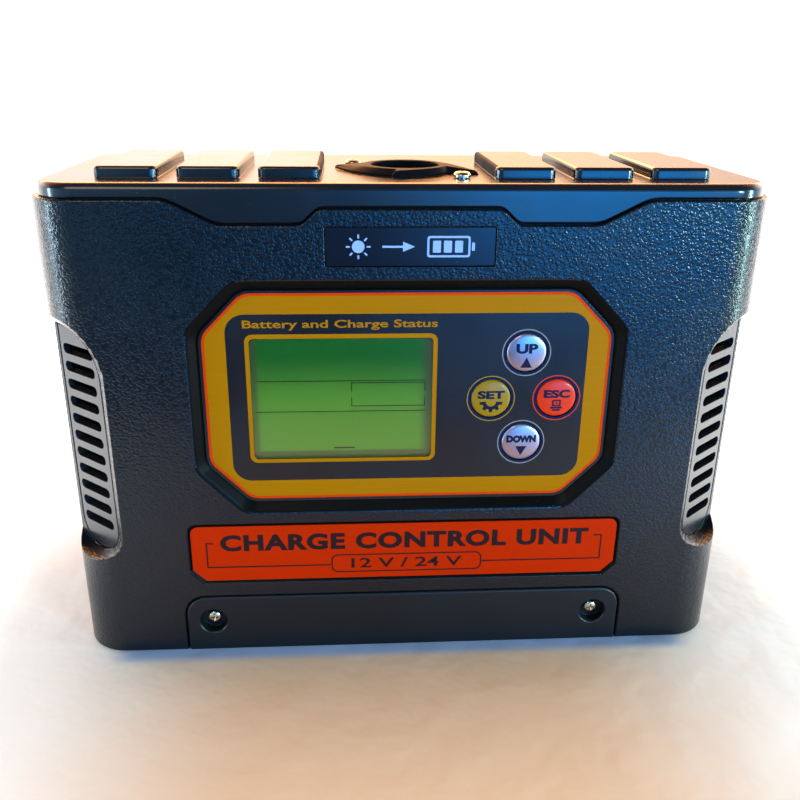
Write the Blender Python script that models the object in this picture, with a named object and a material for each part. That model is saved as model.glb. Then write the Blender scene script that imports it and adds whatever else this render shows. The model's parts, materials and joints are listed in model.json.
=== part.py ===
"""Solar charge controller in an upright wall-mounting case.

World frame: +X right, +Z up, the front faces -Y. The origin is the middle of the footprint
at the height of the bottom edge. Sizes below are in millimetres; plan positions are given as
(x, depth), where depth is the distance behind the front face.
"""
import math

import bmesh
import bpy
from mathutils import Vector

MM = 0.001

# ---------------------------------------------------------------- case
WIDTH = 252.0
DEPTH = 96.0
CAP_TOP = 180.2
WALL = 2.6
CORNER_R = 17.0
SHELL_BACK = 93.5
SHELL_TOP = 175.1
LIP_CHAMFER = 0.5
GAP = 0.3
CLEAR = 0.35

# scalloped joint line between the front cover and the top cap: (half x, height)
SEAM_SIDE = (80.3, 175.1)
SEAM_DIP_OUT = (64.0, 166.9)
SEAM_DIP_IN = (36.3, 166.9)
SEAM_MID = (30.5, 172.2)
SEAM_EASE = (3.2, 2.8, 1.6, 1.6, 1.6, 1.6, 2.8, 3.2)

# top cap
CAP_HALF = 123.7
CAP_FRONT = 1.2
CAP_CORNER_R = 14.7
CAP_FILLET = 2.6
CAP_PLATE = 2.5
TONGUE_LOW = 162.0
PAD_SIZE = (21.2, 55.4)
PAD_X = (94.9, 67.7, 40.4)
PAD_FRONT = 14.2
PAD_HIGH = 3.9
PAD_CORNER_R = 2.7

# fan and its guard
FAN_DEPTH = 35.0
FAN_SIZE = 44.6
FAN_HOLE_PITCH = 37.0
FAN_LOW = 167.2
FAN_HIGH = 177.4
DUCT_R = 16.0
# arms of the guard: start angle, span, tip radius, root radius
GUARD_ARMS = ((-203, 95, 27.3, 17.8), (-108, 85, 19.5, 16.6), (-23, 95, 27.3, 17.8), (72, 85, 19.5, 16.6))
GUARD_RIDGE_R = 15.2
GUARD_EYE_R = 12.2
GUARD_HIGH = 2.6
BLADES = 7

# control panel recess (half width, low, high, corner cut x, corner cut z)
RIM = (76.8, 60.6, 148.2, 17.2, 18.2)
FLOOR = (73.2, 64.0, 144.9, 15.2, 15.6)
PANEL_DEPTH = 2.8
PANEL_BACK = 5.2
WINDOW = (-55.5, 8.5, 81.6, 127.3)
WINDOW_R = 2.2
LENS_LAP = 1.6
KEY_CENTRE = (41.8, 104.3)
KEY_STEP = (11.95, 17.3)
KEY_R = 7.2
KEY_FRONT = 1.2
KEY_FLANGE = (5.5, 6.3)
KEY_TRAVEL = 0.4
SWITCH_FACE = 9.4
SWITCH_BODY = (10.0, 12.7)
OVERLAY = (1.95, 2.5)
LENS = (2.8, 3.8)
LCD = (4.1, 12.7)
DISPLAY_BOARD = (13.0, 14.6)
POST_PLACES = ((-66, 76), (66, 76), (-66, 132), (66, 132))

# plates on the front
BADGE = (28.4, 153.4, 166.2)
LABEL = (81.0, 31.4, 54.8)
PLATE_RECESS = 1.0
PLATE_THICK = 0.4

# terminal cover
COVER_HALF = 85.0
COVER_TOP = 24.0
COVER_R = 8.0
COVER_THICK = 3.0
COVER_SCREW = (74.8, 13.1)
COUNTERBORE_R = 5.1
CUP_R = 6.6
CUP_BACK = 5.6

# side vents: a flat cut across each front corner
VENT_ANGLE = math.radians(40.0)
VENT_START = (107.0, 2.4)
VENT_S = (1.2, 22.6)
VENT_LOW = 52.3
VENT_ROUND = 10.7
VENT_SHOULDER = 112.0
VENT_TOP = 129.3
VENT_PLATE = 2.2
SLOTS = 11
SLOT_PITCH = 6.75
SLOT_HIGH = 3.8
SLOT_FIRST = 120.7
SLOT_S = (3.8, 20.8)

# inside
BOARD_DEPTH = 52.0
BOARD_THICK = 1.6
WAYS = 6
WAY_PITCH = 25.0
BLOCK = (24.0, 51.6, 5.5, 27.0)
PLATE_LOW = 93.8
REAR_SCREWS = ((119.0, 14.0), (119.0, 156.0))
REAR_BOSS_R = 5.0
KEYHOLE = (90.0, 150.0)
KEYHOLE_R = (4.5, 2.5)
LOW_HOLE = (90.0, 24.0, 2.6)
PILLARS = ((98.0, 40.0), (98.0, 152.0))
MAIN_BOARD = (104.0, 30.0, 160.0)
CLAMP_Z = 17.5
SOCKET = (9.0, 34.4, 42.0, 19.5)
CABLE_WAY = (12.0, 31.0, 45.0)
FINS = 11
FIN_PITCH = 11.0
FIN_THICK = 2.0
HEATSINK = (58.3, 62.3, 90.5)
HEATSINK_Z = (62.0, 148.0)
INDUCTOR = (-62.0, 43.0, 100.0)
CAPACITOR_R = 9.0
CAPACITORS = (("left", -10.0), ("right", 14.0))
CAPACITOR_Z = 100.0


# ---------------------------------------------------------------- helpers
def clear_scene():
    for obj in list(bpy.data.objects):
        bpy.data.objects.remove(obj, do_unlink=True)


def world(x, depth, z):
    return Vector((x, depth - DEPTH / 2, z)) * MM


def arc(cx, cy, r, start, end, count):
    """Points on an arc, angles in degrees, both ends included."""
    points = []
    for i in range(count + 1):
        a = math.radians(start + (end - start) * i / count)
        points.append((cx + r * math.cos(a), cy + r * math.sin(a)))
    return points


def circle(cx, cy, r, count):
    return arc(cx, cy, r, 0.0, 360.0 - 360.0 / count, count - 1)


def box_outline(x0, x1, y0, y1):
    return [(x0, y0), (x1, y0), (x1, y1), (x0, y1)]


def round_box(x0, x1, y0, y1, radii, count=5):
    """Rounded rectangle; radii run from the low-low corner anticlockwise."""
    if not isinstance(radii, (tuple, list)):
        radii = (radii,) * 4
    corners = ((x0, y0, 1, 1, 180), (x1, y0, -1, 1, 270), (x1, y1, -1, -1, 0), (x0, y1, 1, -1, 90))
    points = []
    for (cx, cy, sx, sy, start), r in zip(corners, radii):
        points += arc(cx + sx * r, cy + sy * r, r, start, start + 90, count)
    return points


def cut_corners(half, low, high, cut_x, cut_z, shrink=0.0):
    """Rectangle with four cut corners, moved inward by shrink."""
    h = half - shrink
    lo = low + shrink
    hi = high - shrink
    cx = cut_x - 0.5858 * shrink
    cz = cut_z - 0.5858 * shrink
    return [(-h + cx, lo), (h - cx, lo), (h, lo + cz), (h, hi - cz),
            (h - cx, hi), (-h + cx, hi), (-h, hi - cz), (-h, lo + cz)]


def soften(corners, radius, count=3):
    """Round every corner of a convex outline."""
    points = []
    total = len(corners)
    for i, corner in enumerate(corners):
        here = Vector(corner)
        back = (Vector(corners[i - 1]) - here).normalized()
        ahead = (Vector(corners[(i + 1) % total]) - here).normalized()
        reach = radius / math.tan(back.angle(ahead) / 2)
        start = here + back * reach
        end = here + ahead * reach
        for k in range(count + 1):
            t = k / count
            p = start * (1 - t) ** 2 + here * (2 * t * (1 - t)) + end * t ** 2
            points.append((p.x, p.y))
    return points


def on_z(outline, z):
    return [world(x, d, z) for x, d in outline]


def on_y(outline, depth):
    return [world(x, depth, z) for x, z in outline]


def make(name, rings, material, origin=None):
    """Closed solid through rings of equal length, capped at both ends."""
    origin = Vector((0, 0, 0)) if origin is None else origin
    mesh = bpy.data.meshes.new(name)
    body = bmesh.new()
    rows = [[body.verts.new(p - origin) for p in ring] for ring in rings]
    count = len(rows[0])
    for low, high in zip(rows, rows[1:]):
        for i in range(count):
            j = (i + 1) % count
            body.faces.new((low[i], low[j], high[j], high[i]))
    body.faces.new(rows[0])
    body.faces.new(rows[-1])
    bmesh.ops.recalc_face_normals(body, faces=body.faces)
    body.to_mesh(mesh)
    body.free()
    obj = bpy.data.objects.new(name, mesh)
    obj.location = origin
    bpy.context.scene.collection.objects.link(obj)
    if material is not None:
        mesh.materials.append(material)
    bpy.context.view_layer.update()
    return obj


def block_z(name, outline, low, high, material=None):
    return make(name, [on_z(outline, low), on_z(outline, high)], material)


def block_y(name, outline, front, back, material=None):
    return make(name, [on_y(outline, front), on_y(outline, back)], material)


def stack_z(name, sections, material=None, origin=None):
    return make(name, [on_z(outline, z) for outline, z in sections], material, origin)


def stack_y(name, sections, material=None, origin=None):
    return make(name, [on_y(outline, d) for outline, d in sections], material, origin)


def turned_y(name, x, z, profile, count, material=None, origin=None):
    """Round piece on a front-to-back axis; profile is (radius, depth) from the front."""
    return stack_y(name, [(circle(x, z, r, count), d) for r, d in profile], material, origin)


def turned_z(name, x, depth, profile, count, material=None, origin=None):
    """Round piece on an upright axis; profile is (radius, height)."""
    return stack_z(name, [(circle(x, depth, r, count), z) for r, z in profile], material, origin)


def combine(obj, tool, operation="DIFFERENCE"):
    """Boolean with a tool solid, which is then removed."""
    mod = obj.modifiers.new("combine", "BOOLEAN")
    mod.object = tool
    mod.operation = operation
    mod.solver = "EXACT"
    graph = bpy.context.evaluated_depsgraph_get()
    result = bpy.data.meshes.new_from_object(obj.evaluated_get(graph))
    obj.modifiers.clear()
    old = obj.data
    obj.data = result
    result.name = old.name
    bpy.data.meshes.remove(old)
    bpy.data.objects.remove(tool, do_unlink=True)
    bpy.context.view_layer.update()


def add(obj, tool):
    combine(obj, tool, "UNION")


def finish(obj, angle=32.0):
    """Merge flat neighbours, then shade smooth with crisp edges."""
    mesh = obj.data
    body = bmesh.new()
    body.from_mesh(mesh)
    bmesh.ops.remove_doubles(body, verts=body.verts, dist=0.002 * MM)
    bmesh.ops.dissolve_limit(body, angle_limit=math.radians(0.05), verts=body.verts, edges=body.edges)
    bmesh.ops.triangulate(body, faces=[f for f in body.faces if len(f.verts) > 4])
    body.to_mesh(mesh)
    body.free()
    mesh.shade_smooth()
    mesh.set_sharp_from_angle(angle=math.radians(angle))
    return obj


def material(name, colour, roughness, metallic=0.0, alpha=1.0):
    mat = bpy.data.materials.new(name)
    mat.use_nodes = True
    shader = mat.node_tree.nodes["Principled BSDF"]
    shader.inputs["Base Color"].default_value = (*colour, 1.0)
    shader.inputs["Roughness"].default_value = roughness
    shader.inputs["Metallic"].default_value = metallic
    shader.inputs["Alpha"].default_value = alpha
    return mat


def ease(line, reaches, count=3):
    """Open line whose inner corners are rounded, each over its own reach to either side."""
    points = [line[0]]
    for i, reach in enumerate(reaches):
        here = Vector(line[i + 1])
        start = here + (Vector(line[i]) - here).normalized() * reach
        end = here + (Vector(line[i + 2]) - here).normalized() * reach
        for k in range(count + 1):
            t = k / count
            p = start * (1 - t) ** 2 + here * (2 * t * (1 - t)) + end * t ** 2
            points.append((p.x, p.y))
    return points + [line[-1]]


# ---------------------------------------------------------------- shared outlines
def seam_outline(drop, margin):
    """Outline of everything above the joint line, lowered by drop."""
    far = WIDTH / 2 + margin
    top = CAP_TOP + margin
    right = [SEAM_MID, SEAM_DIP_IN, SEAM_DIP_OUT, SEAM_SIDE, (far, SEAM_SIDE[1])]
    line = [(-x, z - drop) for x, z in reversed(right)] + [(x, z - drop) for x, z in right]
    return ease(line, SEAM_EASE) + [(far, top), (-far, top)]


def seam_outline_below(rise, margin):
    """Outline of everything below the joint line, raised by rise."""
    far = WIDTH / 2 + margin
    low = TONGUE_LOW - margin
    right = [SEAM_MID, SEAM_DIP_IN, SEAM_DIP_OUT, SEAM_SIDE, (far, SEAM_SIDE[1])]
    line = [(-x, z + rise) for x, z in reversed(right)] + [(x, z + rise) for x, z in right]
    return ease(line, SEAM_EASE) + [(far, low), (-far, low)]


def case_outline(half, front, back, radius, back_radius=0.5):
    """Case in plan: large round front corners, nearly square back corners."""
    points = arc(-half + radius, front + radius, radius, 180, 270, 10)
    points += arc(half - radius, front + radius, radius, 270, 360, 10)
    points += arc(half - back_radius, back - back_radius, back_radius, 0, 90, 2)
    points += arc(-half + back_radius, back - back_radius, back_radius, 90, 180, 2)
    return points


def vent_point(side, s, z, h):
    """Point on a side vent: s along the flat cut, h outward from it."""
    c = math.cos(VENT_ANGLE)
    k = math.sin(VENT_ANGLE)
    x = VENT_START[0] + s * c + h * k
    depth = VENT_START[1] + s * k - h * c
    return world(side * x, depth, z)


def vent_outline(s0, s1, grow=0.0):
    """Vent insert outline in (s, z): round below, swept to the side edge above."""
    mid = (s0 + s1) / 2
    half = (s1 - s0) / 2
    points = []
    for i in range(15):
        a = math.radians(180 + 180 * i / 14)
        points.append((mid + half * math.cos(a), VENT_LOW + (VENT_ROUND + grow) * math.sin(a)))
    for i in range(11):
        a = math.radians(90 + 90 * i / 10)
        rise = VENT_TOP - VENT_SHOULDER + grow
        points.append((s1 + 2 * half * math.cos(a), VENT_SHOULDER + rise * math.sin(a)))
    return points


def vent_ring(side, outline, h):
    return [vent_point(side, s, z, h) for s, z in outline]


def key_positions():
    x, z = KEY_CENTRE
    dx, dz = KEY_STEP
    return {"up": (x, z + dz), "down": (x, z - dz), "set": (x - dx, z), "esc": (x + dx, z)}


# ---------------------------------------------------------------- case pieces
def cavity_outline(cut):
    """Inside of the front cover in plan; cut gives the flats behind the side vents."""
    half = WIDTH / 2 - WALL
    r = CORNER_R - WALL
    cx = WIDTH / 2 - CORNER_R
    steps = 10
    if cut:
        near = (103.8, WALL)
        far = (half, 19.04)
        right = [(near[0] + (far[0] - near[0]) * i / steps, near[1] + (far[1] - near[1]) * i / steps)
                 for i in range(steps + 1)]
    else:
        right = arc(cx, CORNER_R, r, 270, 360, steps)
    left = [(-x, d) for x, d in reversed(right)]
    return left + right + [(half, DEPTH + 30), (-half, DEPTH + 30)]


def build_front_cover(mat):
    half = WIDTH / 2
    outline = case_outline(half, 0, SHELL_BACK, CORNER_R)
    low = case_outline(half - 0.5, 0.5, SHELL_BACK, CORNER_R - 0.5)
    lip = case_outline(half - LIP_CHAMFER, LIP_CHAMFER, SHELL_BACK, CORNER_R - LIP_CHAMFER)
    cover = stack_z("front_cover", [(low, 0), (outline, 0.5), (outline, SHELL_TOP - LIP_CHAMFER),
                                    (lip, SHELL_TOP)], mat)
    plain = cavity_outline(False)
    cut = cavity_outline(True)
    cavity = stack_z("cavity", [(plain, -5), (plain, 33), (cut, 36.5), (cut, 135.5), (plain, 139),
                                (plain, SHELL_TOP + 20)])
    # thicker wall behind the control panel, with posts for the display board
    combine(cavity, block_y("panel_wall", cut_corners(*RIM, shrink=0.4), 0, PANEL_BACK))
    for x, z in POST_PLACES:
        combine(cavity, block_y("post", circle(x, z, 2.4, 8), 2, DISPLAY_BOARD[0] - GAP))
    # ledge and screw blocks behind the terminal cover
    combine(cavity, block_y("ledge", box_outline(-90, 90, -8, 28), 0, 5.9))
    for side in (-1, 1):
        edges = sorted((side * 66, side * 88))
        combine(cavity, block_y("screw_block", box_outline(edges[0], edges[1], 3.1, 24.5), 2, 12))
        for x, z in REAR_SCREWS:
            combine(cavity, block_y("rear_boss", circle(side * x, z, REAR_BOSS_R, 10), 62, SHELL_BACK))
    combine(cover, cavity)
    # scalloped top edge with a small chamfer
    combine(cover, stack_y("scallop", [(seam_outline(LIP_CHAMFER + 0.5, 14), -0.5),
                                       (seam_outline(0, 14), LIP_CHAMFER),
                                       (seam_outline(0, 14), CORNER_R + 20)]))
    # control panel recess and its openings
    combine(cover, stack_y("recess", [(soften(cut_corners(*RIM, shrink=-0.65), 10.0, 5), -0.5),
                                      (soften(cut_corners(*FLOOR), 8.5, 5), PANEL_DEPTH)]))
    combine(cover, block_y("window", window_outline(LENS_LAP + GAP), 0, 8))
    for x, z in key_positions().values():
        combine(cover, block_y("key_hole", circle(x, z, KEY_R + GAP, 24), 0, 8))
    # shallow recesses for the badge and the label
    combine(cover, block_y("badge_recess", badge_outline(CLEAR), -1, PLATE_RECESS))
    combine(cover, stack_y("label_recess", [(label_outline(CLEAR + 1.2), -0.3),
                                            (label_outline(CLEAR), PLATE_RECESS)]))
    # terminal cover pocket, access opening and screw holes
    r = COVER_R + CLEAR
    wide = COVER_HALF + CLEAR
    top = COVER_TOP + CLEAR
    combine(cover, stack_y("cover_pocket", [
        (round_box(-wide - 1.1, wide + 1.1, -8, top + 1.1, (0.2, 0.2, r, r), 7), -0.5),
        (round_box(-wide, wide, -8, top, (0.2, 0.2, r, r), 7), 0.6),
        (round_box(-wide, wide, -8, top, (0.2, 0.2, r, r), 7), COVER_THICK + GAP)]))
    combine(cover, block_y("access", round_box(-62, 62, -8, 19.5, (0.2, 0.2, 3, 3), 4), 0, 20))
    for side in (-1, 1):
        x, z = side * COVER_SCREW[0], COVER_SCREW[1]
        combine(cover, turned_y("cup_pocket", x, z, [(CUP_R + GAP, 1), (CUP_R + GAP, CUP_BACK + GAP)], 16))
        combine(cover, block_y("screw_hole", circle(x, z, 1.7, 8), 2, 20))
        for x, z in REAR_SCREWS:
            combine(cover, block_y("rear_hole", circle(side * x, z, 1.6, 8), 74, DEPTH))
        cut_vent(cover, side)
    return finish(cover)


def cut_vent(cover, side):
    """Flat-floored recess across the corner, then the hole the insert sits in."""
    s0 = VENT_S[0] - CLEAR
    s1 = VENT_S[1] + 4.5
    floor = vent_outline(s0, s1, CLEAR)
    reach = 9.0
    outer = []
    for s, z in floor:
        front = (s1 - s) / (s1 - s0)
        if z < VENT_LOW + 0.001:
            ds = -3.1 * front ** 3
            dz = -0.06 * (VENT_LOW - z) / VENT_ROUND
        else:
            # the swept top flares outward and upward, most of all near the front
            climb = math.acos(min(1.0, front)) / (math.pi / 2)
            ds = -0.55 - 2.5 * (1 - climb) ** 6
            dz = 0.8 + 1.7 * (1 - climb) ** 2 * min(1.0, 0.3 + 6 * climb)
        outer.append((s + ds * reach, z + dz * reach))
    combine(cover, make("vent_recess", [vent_ring(side, floor, 0), vent_ring(side, outer, reach)], None))
    hole = vent_outline(s0, VENT_S[1] + CLEAR, CLEAR)
    combine(cover, make("vent_hole", [vent_ring(side, hole, -5), vent_ring(side, hole, 0.01)], None))


def build_vent(name, side, mat):
    face = vent_outline(*VENT_S)
    shy = vent_outline(VENT_S[0] + 0.3, VENT_S[1] - 0.3, -0.3)
    flange = vent_outline(VENT_S[0] - 1.6, VENT_S[1] + 0.15, 1.6)
    rings = [vent_ring(side, shy, 0), vent_ring(side, face, -0.3), vent_ring(side, face, -VENT_PLATE - GAP),
             vent_ring(side, flange, -VENT_PLATE - GAP), vent_ring(side, flange, -VENT_PLATE - 1.4)]
    vent = make(name, rings, mat)
    for i in range(SLOTS):
        z = SLOT_FIRST - i * SLOT_PITCH
        slot = round_box(*SLOT_S, z - SLOT_HIGH / 2, z + SLOT_HIGH / 2, 1.5, 2)
        combine(vent, make("slot", [vent_ring(side, slot, -6), vent_ring(side, slot, 1)], None))
    return finish(vent)


def badge_outline(grow):
    half, low, high = BADGE
    return round_box(-half - grow, half + grow, low - grow, high + grow, 0.6 + grow, 3)


def label_outline(grow):
    """Round top corners, cut bottom corners."""
    half, low, high = LABEL
    h = half + grow
    lo = low - grow
    hi = high + grow
    cut = 4.8 + 0.4142 * grow
    r = 3.0 + grow
    return ([(-h + cut, lo), (h - cut, lo), (h, lo + cut)] + arc(h - r, hi - r, r, 0, 90, 4)
            + arc(-h + r, hi - r, r, 90, 180, 4) + [(-h, lo + cut)])


def build_guard():
    """Ring around the fan's eye with two long and two short swirl arms that fall towards their tips."""
    high = CAP_TOP + GUARD_HIGH
    rings = [[], [], [], []]
    for start, span, tip, root in GUARD_ARMS:
        for i in range(9):
            t = i / 8
            a = math.radians(start + 1.5 + (span - 1.5) * t)
            b = a + math.radians(3)
            foot = root + (tip - root) * (1 - t) ** 3
            ridge = GUARD_RIDGE_R + (tip - 1.3 - GUARD_RIDGE_R) * (1 - t) ** 4
            fall = 0.12 * (tip - 17.0) * (1 - t) ** 3
            for ring, (r, angle, z) in zip(rings, ((foot, a, CAP_TOP - 1.9), (foot, a, CAP_TOP + 0.7),
                                                   (ridge, b, high - fall), (GUARD_EYE_R + 1.4, b, high))):
                ring.append(world(r * math.cos(angle), FAN_DEPTH + r * math.sin(angle), z))
    return make("guard", rings, None)


def build_top_cap(mat):
    inner = 2.0
    tongue_half = WIDTH / 2 - WALL - GAP
    tongue_front = WALL + GAP
    tongue_r = CORNER_R - WALL - GAP

    def plan(inset):
        return case_outline(CAP_HALF - inset, CAP_FRONT + inset, SHELL_BACK - inset, CAP_CORNER_R - inset,
                            3.0 - 0.9 * inset)

    sections = [(plan(0), TONGUE_LOW - 2)]
    for i in range(6):
        a = math.radians(90 * i / 5)
        inset = CAP_FILLET * (1 - math.cos(a))
        sections.append((plan(inset), CAP_TOP - CAP_FILLET * (1 - math.sin(a))))
    cap = stack_z("top_cap", sections, mat)
    combine(cap, stack_y("skirt_edge", [(seam_outline_below(CLEAR + LIP_CHAMFER + 0.5, 14), CAP_FRONT - 0.5),
                                        (seam_outline_below(CLEAR, 14), CAP_FRONT + LIP_CHAMFER),
                                        (seam_outline_below(CLEAR, 14), DEPTH + 10)]))
    tongue = case_outline(tongue_half, tongue_front, SHELL_BACK - 0.2, tongue_r, 2.0)
    add(cap, block_z("tongue", tongue, TONGUE_LOW, CAP_TOP - 1.1))
    hollow = case_outline(tongue_half - inner, tongue_front + inner, SHELL_BACK - 2.2, tongue_r - inner, 1.0)
    combine(cap, block_z("hollow", hollow, TONGUE_LOW - 20, CAP_TOP - CAP_PLATE))
    for x in PAD_X:
        for side in (-1, 1):
            cx = side * x
            w, length = PAD_SIZE

            def foot(inset):
                return round_box(cx - w / 2 + inset, cx + w / 2 - inset, PAD_FRONT + inset,
                                 PAD_FRONT + length - inset, PAD_CORNER_R - inset, 3)
            top = CAP_TOP + PAD_HIGH
            add(cap, stack_z("pad", [(foot(0), CAP_TOP - 1), (foot(0), top - 1.2), (foot(0.35), top - 0.4),
                                     (foot(1.1), top)]))
    combine(cap, block_z("duct", circle(0, FAN_DEPTH, DUCT_R, 36), CAP_TOP - 5, CAP_TOP + 1))
    high = CAP_TOP + GUARD_HIGH
    guard = build_guard()
    combine(guard, turned_z("eye", 0, FAN_DEPTH, [(GUARD_EYE_R, CAP_TOP - 8), (GUARD_EYE_R, high - 0.5),
                                                   (GUARD_EYE_R + 0.9, high + 1)], 40))
    add(cap, guard)
    reach = FAN_HOLE_PITCH / 2
    for sx, sy in ((-1, 1), (1, -1)):
        hole = circle(sx * reach, FAN_DEPTH + sy * reach, 1.8, 12)
        combine(cap, block_z("hole", hole, CAP_TOP - 5, CAP_TOP + 1))
    return finish(cap)


def build_terminal_cover(mat):
    def face(inset):
        r = COVER_R - inset
        return round_box(-COVER_HALF + inset, COVER_HALF - inset, 0.2, COVER_TOP - inset, (0.3, 0.3, r, r), 7)
    cover = stack_y("terminal_cover", [(face(1.1), 0), (face(0.5), 0.15), (face(0.15), 0.5), (face(0), 1.1),
                                       (face(0), COVER_THICK)], mat)
    for side in (-1, 1):
        x, z = side * COVER_SCREW[0], COVER_SCREW[1]
        add(cover, turned_y("cup", x, z, [(CUP_R, 1.5), (CUP_R, CUP_BACK)], 16))
        combine(cover, turned_y("counterbore", x, z, [(COUNTERBORE_R + 1.0, -0.5), (COUNTERBORE_R, 0.5),
                                                      (COUNTERBORE_R, 4.4)], 24))
        combine(cover, block_y("hole", circle(x, z, 1.7, 8), 3, 8))
    return finish(cover)


def build_bottom_plate(mat):
    half = WIDTH / 2 - WALL - GAP
    corner = arc(WIDTH / 2 - CORNER_R, CORNER_R, CORNER_R - WALL - GAP, 270, 360, 7)
    right = [(90.4, 6.2), (90.4, WALL + GAP)] + corner + [(half, SHELL_BACK - GAP)]
    outline = right + [(-x, d) for x, d in reversed(right)]
    plate = block_z("bottom_plate", outline, 0.4, 2.8, mat)
    wide, front, back = CABLE_WAY
    for x in way_positions():
        combine(plate, block_z("cable_way", round_box(x - wide / 2, x + wide / 2, front, back, 3, 3), -2, 6))
    return finish(plate)


def way_positions():
    return [(i - (WAYS - 1) / 2) * WAY_PITCH for i in range(WAYS)]


def build_rear_plate(mat):
    plate = block_y("rear_plate", round_box(-125.5, 125.5, 0.3, 179.6, 3, 4), PLATE_LOW, DEPTH, mat)
    kx, kz = KEYHOLE
    wide, narrow = KEYHOLE_R
    low_x, low_z, low_r = LOW_HOLE
    for side in (-1, 1):
        combine(plate, block_y("key_round", circle(side * kx, kz, wide, 18), 90, 100))
        slot = round_box(side * kx - narrow, side * kx + narrow, kz - 1, kz + 10, narrow - 0.1, 3)
        combine(plate, block_y("key_slot", slot, 90, 100))
        combine(plate, block_y("low_hole", circle(side * low_x, low_z, low_r, 12), 90, 100))
        for x, z in REAR_SCREWS:
            combine(plate, block_y("hole", circle(side * x, z, 1.6, 8), 90, 100))
            combine(plate, block_y("counterbore", circle(side * x, z, 3.4, 16), DEPTH - 1.4, 100))
    return finish(plate)


# ---------------------------------------------------------------- screws
def cross_slot_y(screw, x, z, front):
    """Cross recess that narrows towards its floor."""
    for w, h in ((0.75, 3.1), (3.1, 0.75)):
        mouth = box_outline(x - w / 2, x + w / 2, z - h / 2, z + h / 2)
        floor = box_outline(x - w / 3, x + w / 3, z - h / 3, z + h / 3)
        combine(screw, stack_y("slot", [(mouth, front - 1), (mouth, front + 0.6), (floor, front + 1.3)]))


def build_front_screw(name, x, z, mat):
    """Pan head in the counterbore, shank running back into the case."""
    profile = [(1.0, 2.35), (1.9, 2.5), (2.45, 2.85), (2.7, 3.3), (2.7, 4.1), (1.4, 4.1), (1.4, 11.4)]
    screw = turned_y(name, x, z, profile, 20, mat)
    cross_slot_y(screw, x, z, 2.35)
    return finish(screw, 50)


def build_top_screw(name, x, depth, mat):
    top = CAP_TOP + GAP
    profile = [(1.5, top - 11.5), (1.5, top), (3.0, top), (3.0, top + 0.9), (2.7, top + 1.4),
               (2.1, top + 1.8), (1.1, top + 2.0)]
    screw = turned_z(name, x, depth, profile, 20, mat)
    for w, h in ((0.8, 3.4), (3.4, 0.8)):
        outline = box_outline(x - w / 2, x + w / 2, depth - h / 2, depth + h / 2)
        combine(screw, block_z("slot", outline, top + 0.9, top + 4))
    return finish(screw, 50)


def build_rear_screw(name, x, z, mat):
    screw = turned_y(name, x, z, [(1.3, 76), (1.3, 94.9), (3.0, 94.9), (3.0, 95.9)], 12, mat)
    return finish(screw, 50)


def build_board_screw(name, x, z, mat):
    face = BOARD_DEPTH - GAP
    screw = turned_y(name, x, z, [(2.6, face - 1.8), (2.6, face), (1.25, face), (1.25, face + 9)], 10, mat)
    return finish(screw, 50)


# ---------------------------------------------------------------- control panel
def build_overlay(mat):
    outline = soften(cut_corners(*FLOOR, shrink=0.35), 8.3, 5)
    sheet = block_y("display_overlay", outline, *OVERLAY, mat)
    x0, x1, z0, z1 = WINDOW
    combine(sheet, block_y("window", round_box(x0, x1, z0, z1, WINDOW_R, 4), 0, 5))
    for x, z in key_positions().values():
        combine(sheet, block_y("key_hole", circle(x, z, KEY_R + GAP, 32), 0, 5))
    return finish(sheet)


def build_key(name, x, z, mat):
    """Domed button with a flange behind the panel and a stem that reaches its switch."""
    flange = KEY_R + 1.1
    stem = 2.0
    dome = [(1.8, 0), (4.4, 0.22), (6.3, 0.65), (7.05, 1.2), (KEY_R, 1.7)]
    profile = [(r, KEY_FRONT + drop) for r, drop in dome]
    profile += [(KEY_R, KEY_FLANGE[0]), (flange, KEY_FLANGE[0]), (flange, KEY_FLANGE[1]),
                (stem, KEY_FLANGE[1]), (stem, SWITCH_FACE - KEY_TRAVEL - 0.05)]
    return finish(turned_y(name, x, z, profile, 24, mat, world(x, PANEL_DEPTH, z)), 40)


def build_switch(name, x, z, mat):
    body = block_y(name, round_box(x - 3, x + 3, z - 3, z + 3, 0.5, 2), *SWITCH_BODY, mat)
    add(body, block_y("plunger", circle(x, z, 1.7, 12), SWITCH_FACE, SWITCH_BODY[0] + 1))
    return finish(body)


def window_outline(lap):
    x0, x1, z0, z1 = WINDOW
    return round_box(x0 - lap, x1 + lap, z0 - lap, z1 + lap, 1.7, 3)


def build_lens(mat):
    return finish(block_y("display_window", window_outline(LENS_LAP), *LENS, mat))


def build_lcd(mat):
    return finish(block_y("lcd_module", window_outline(LENS_LAP), *LCD, mat))


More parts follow.
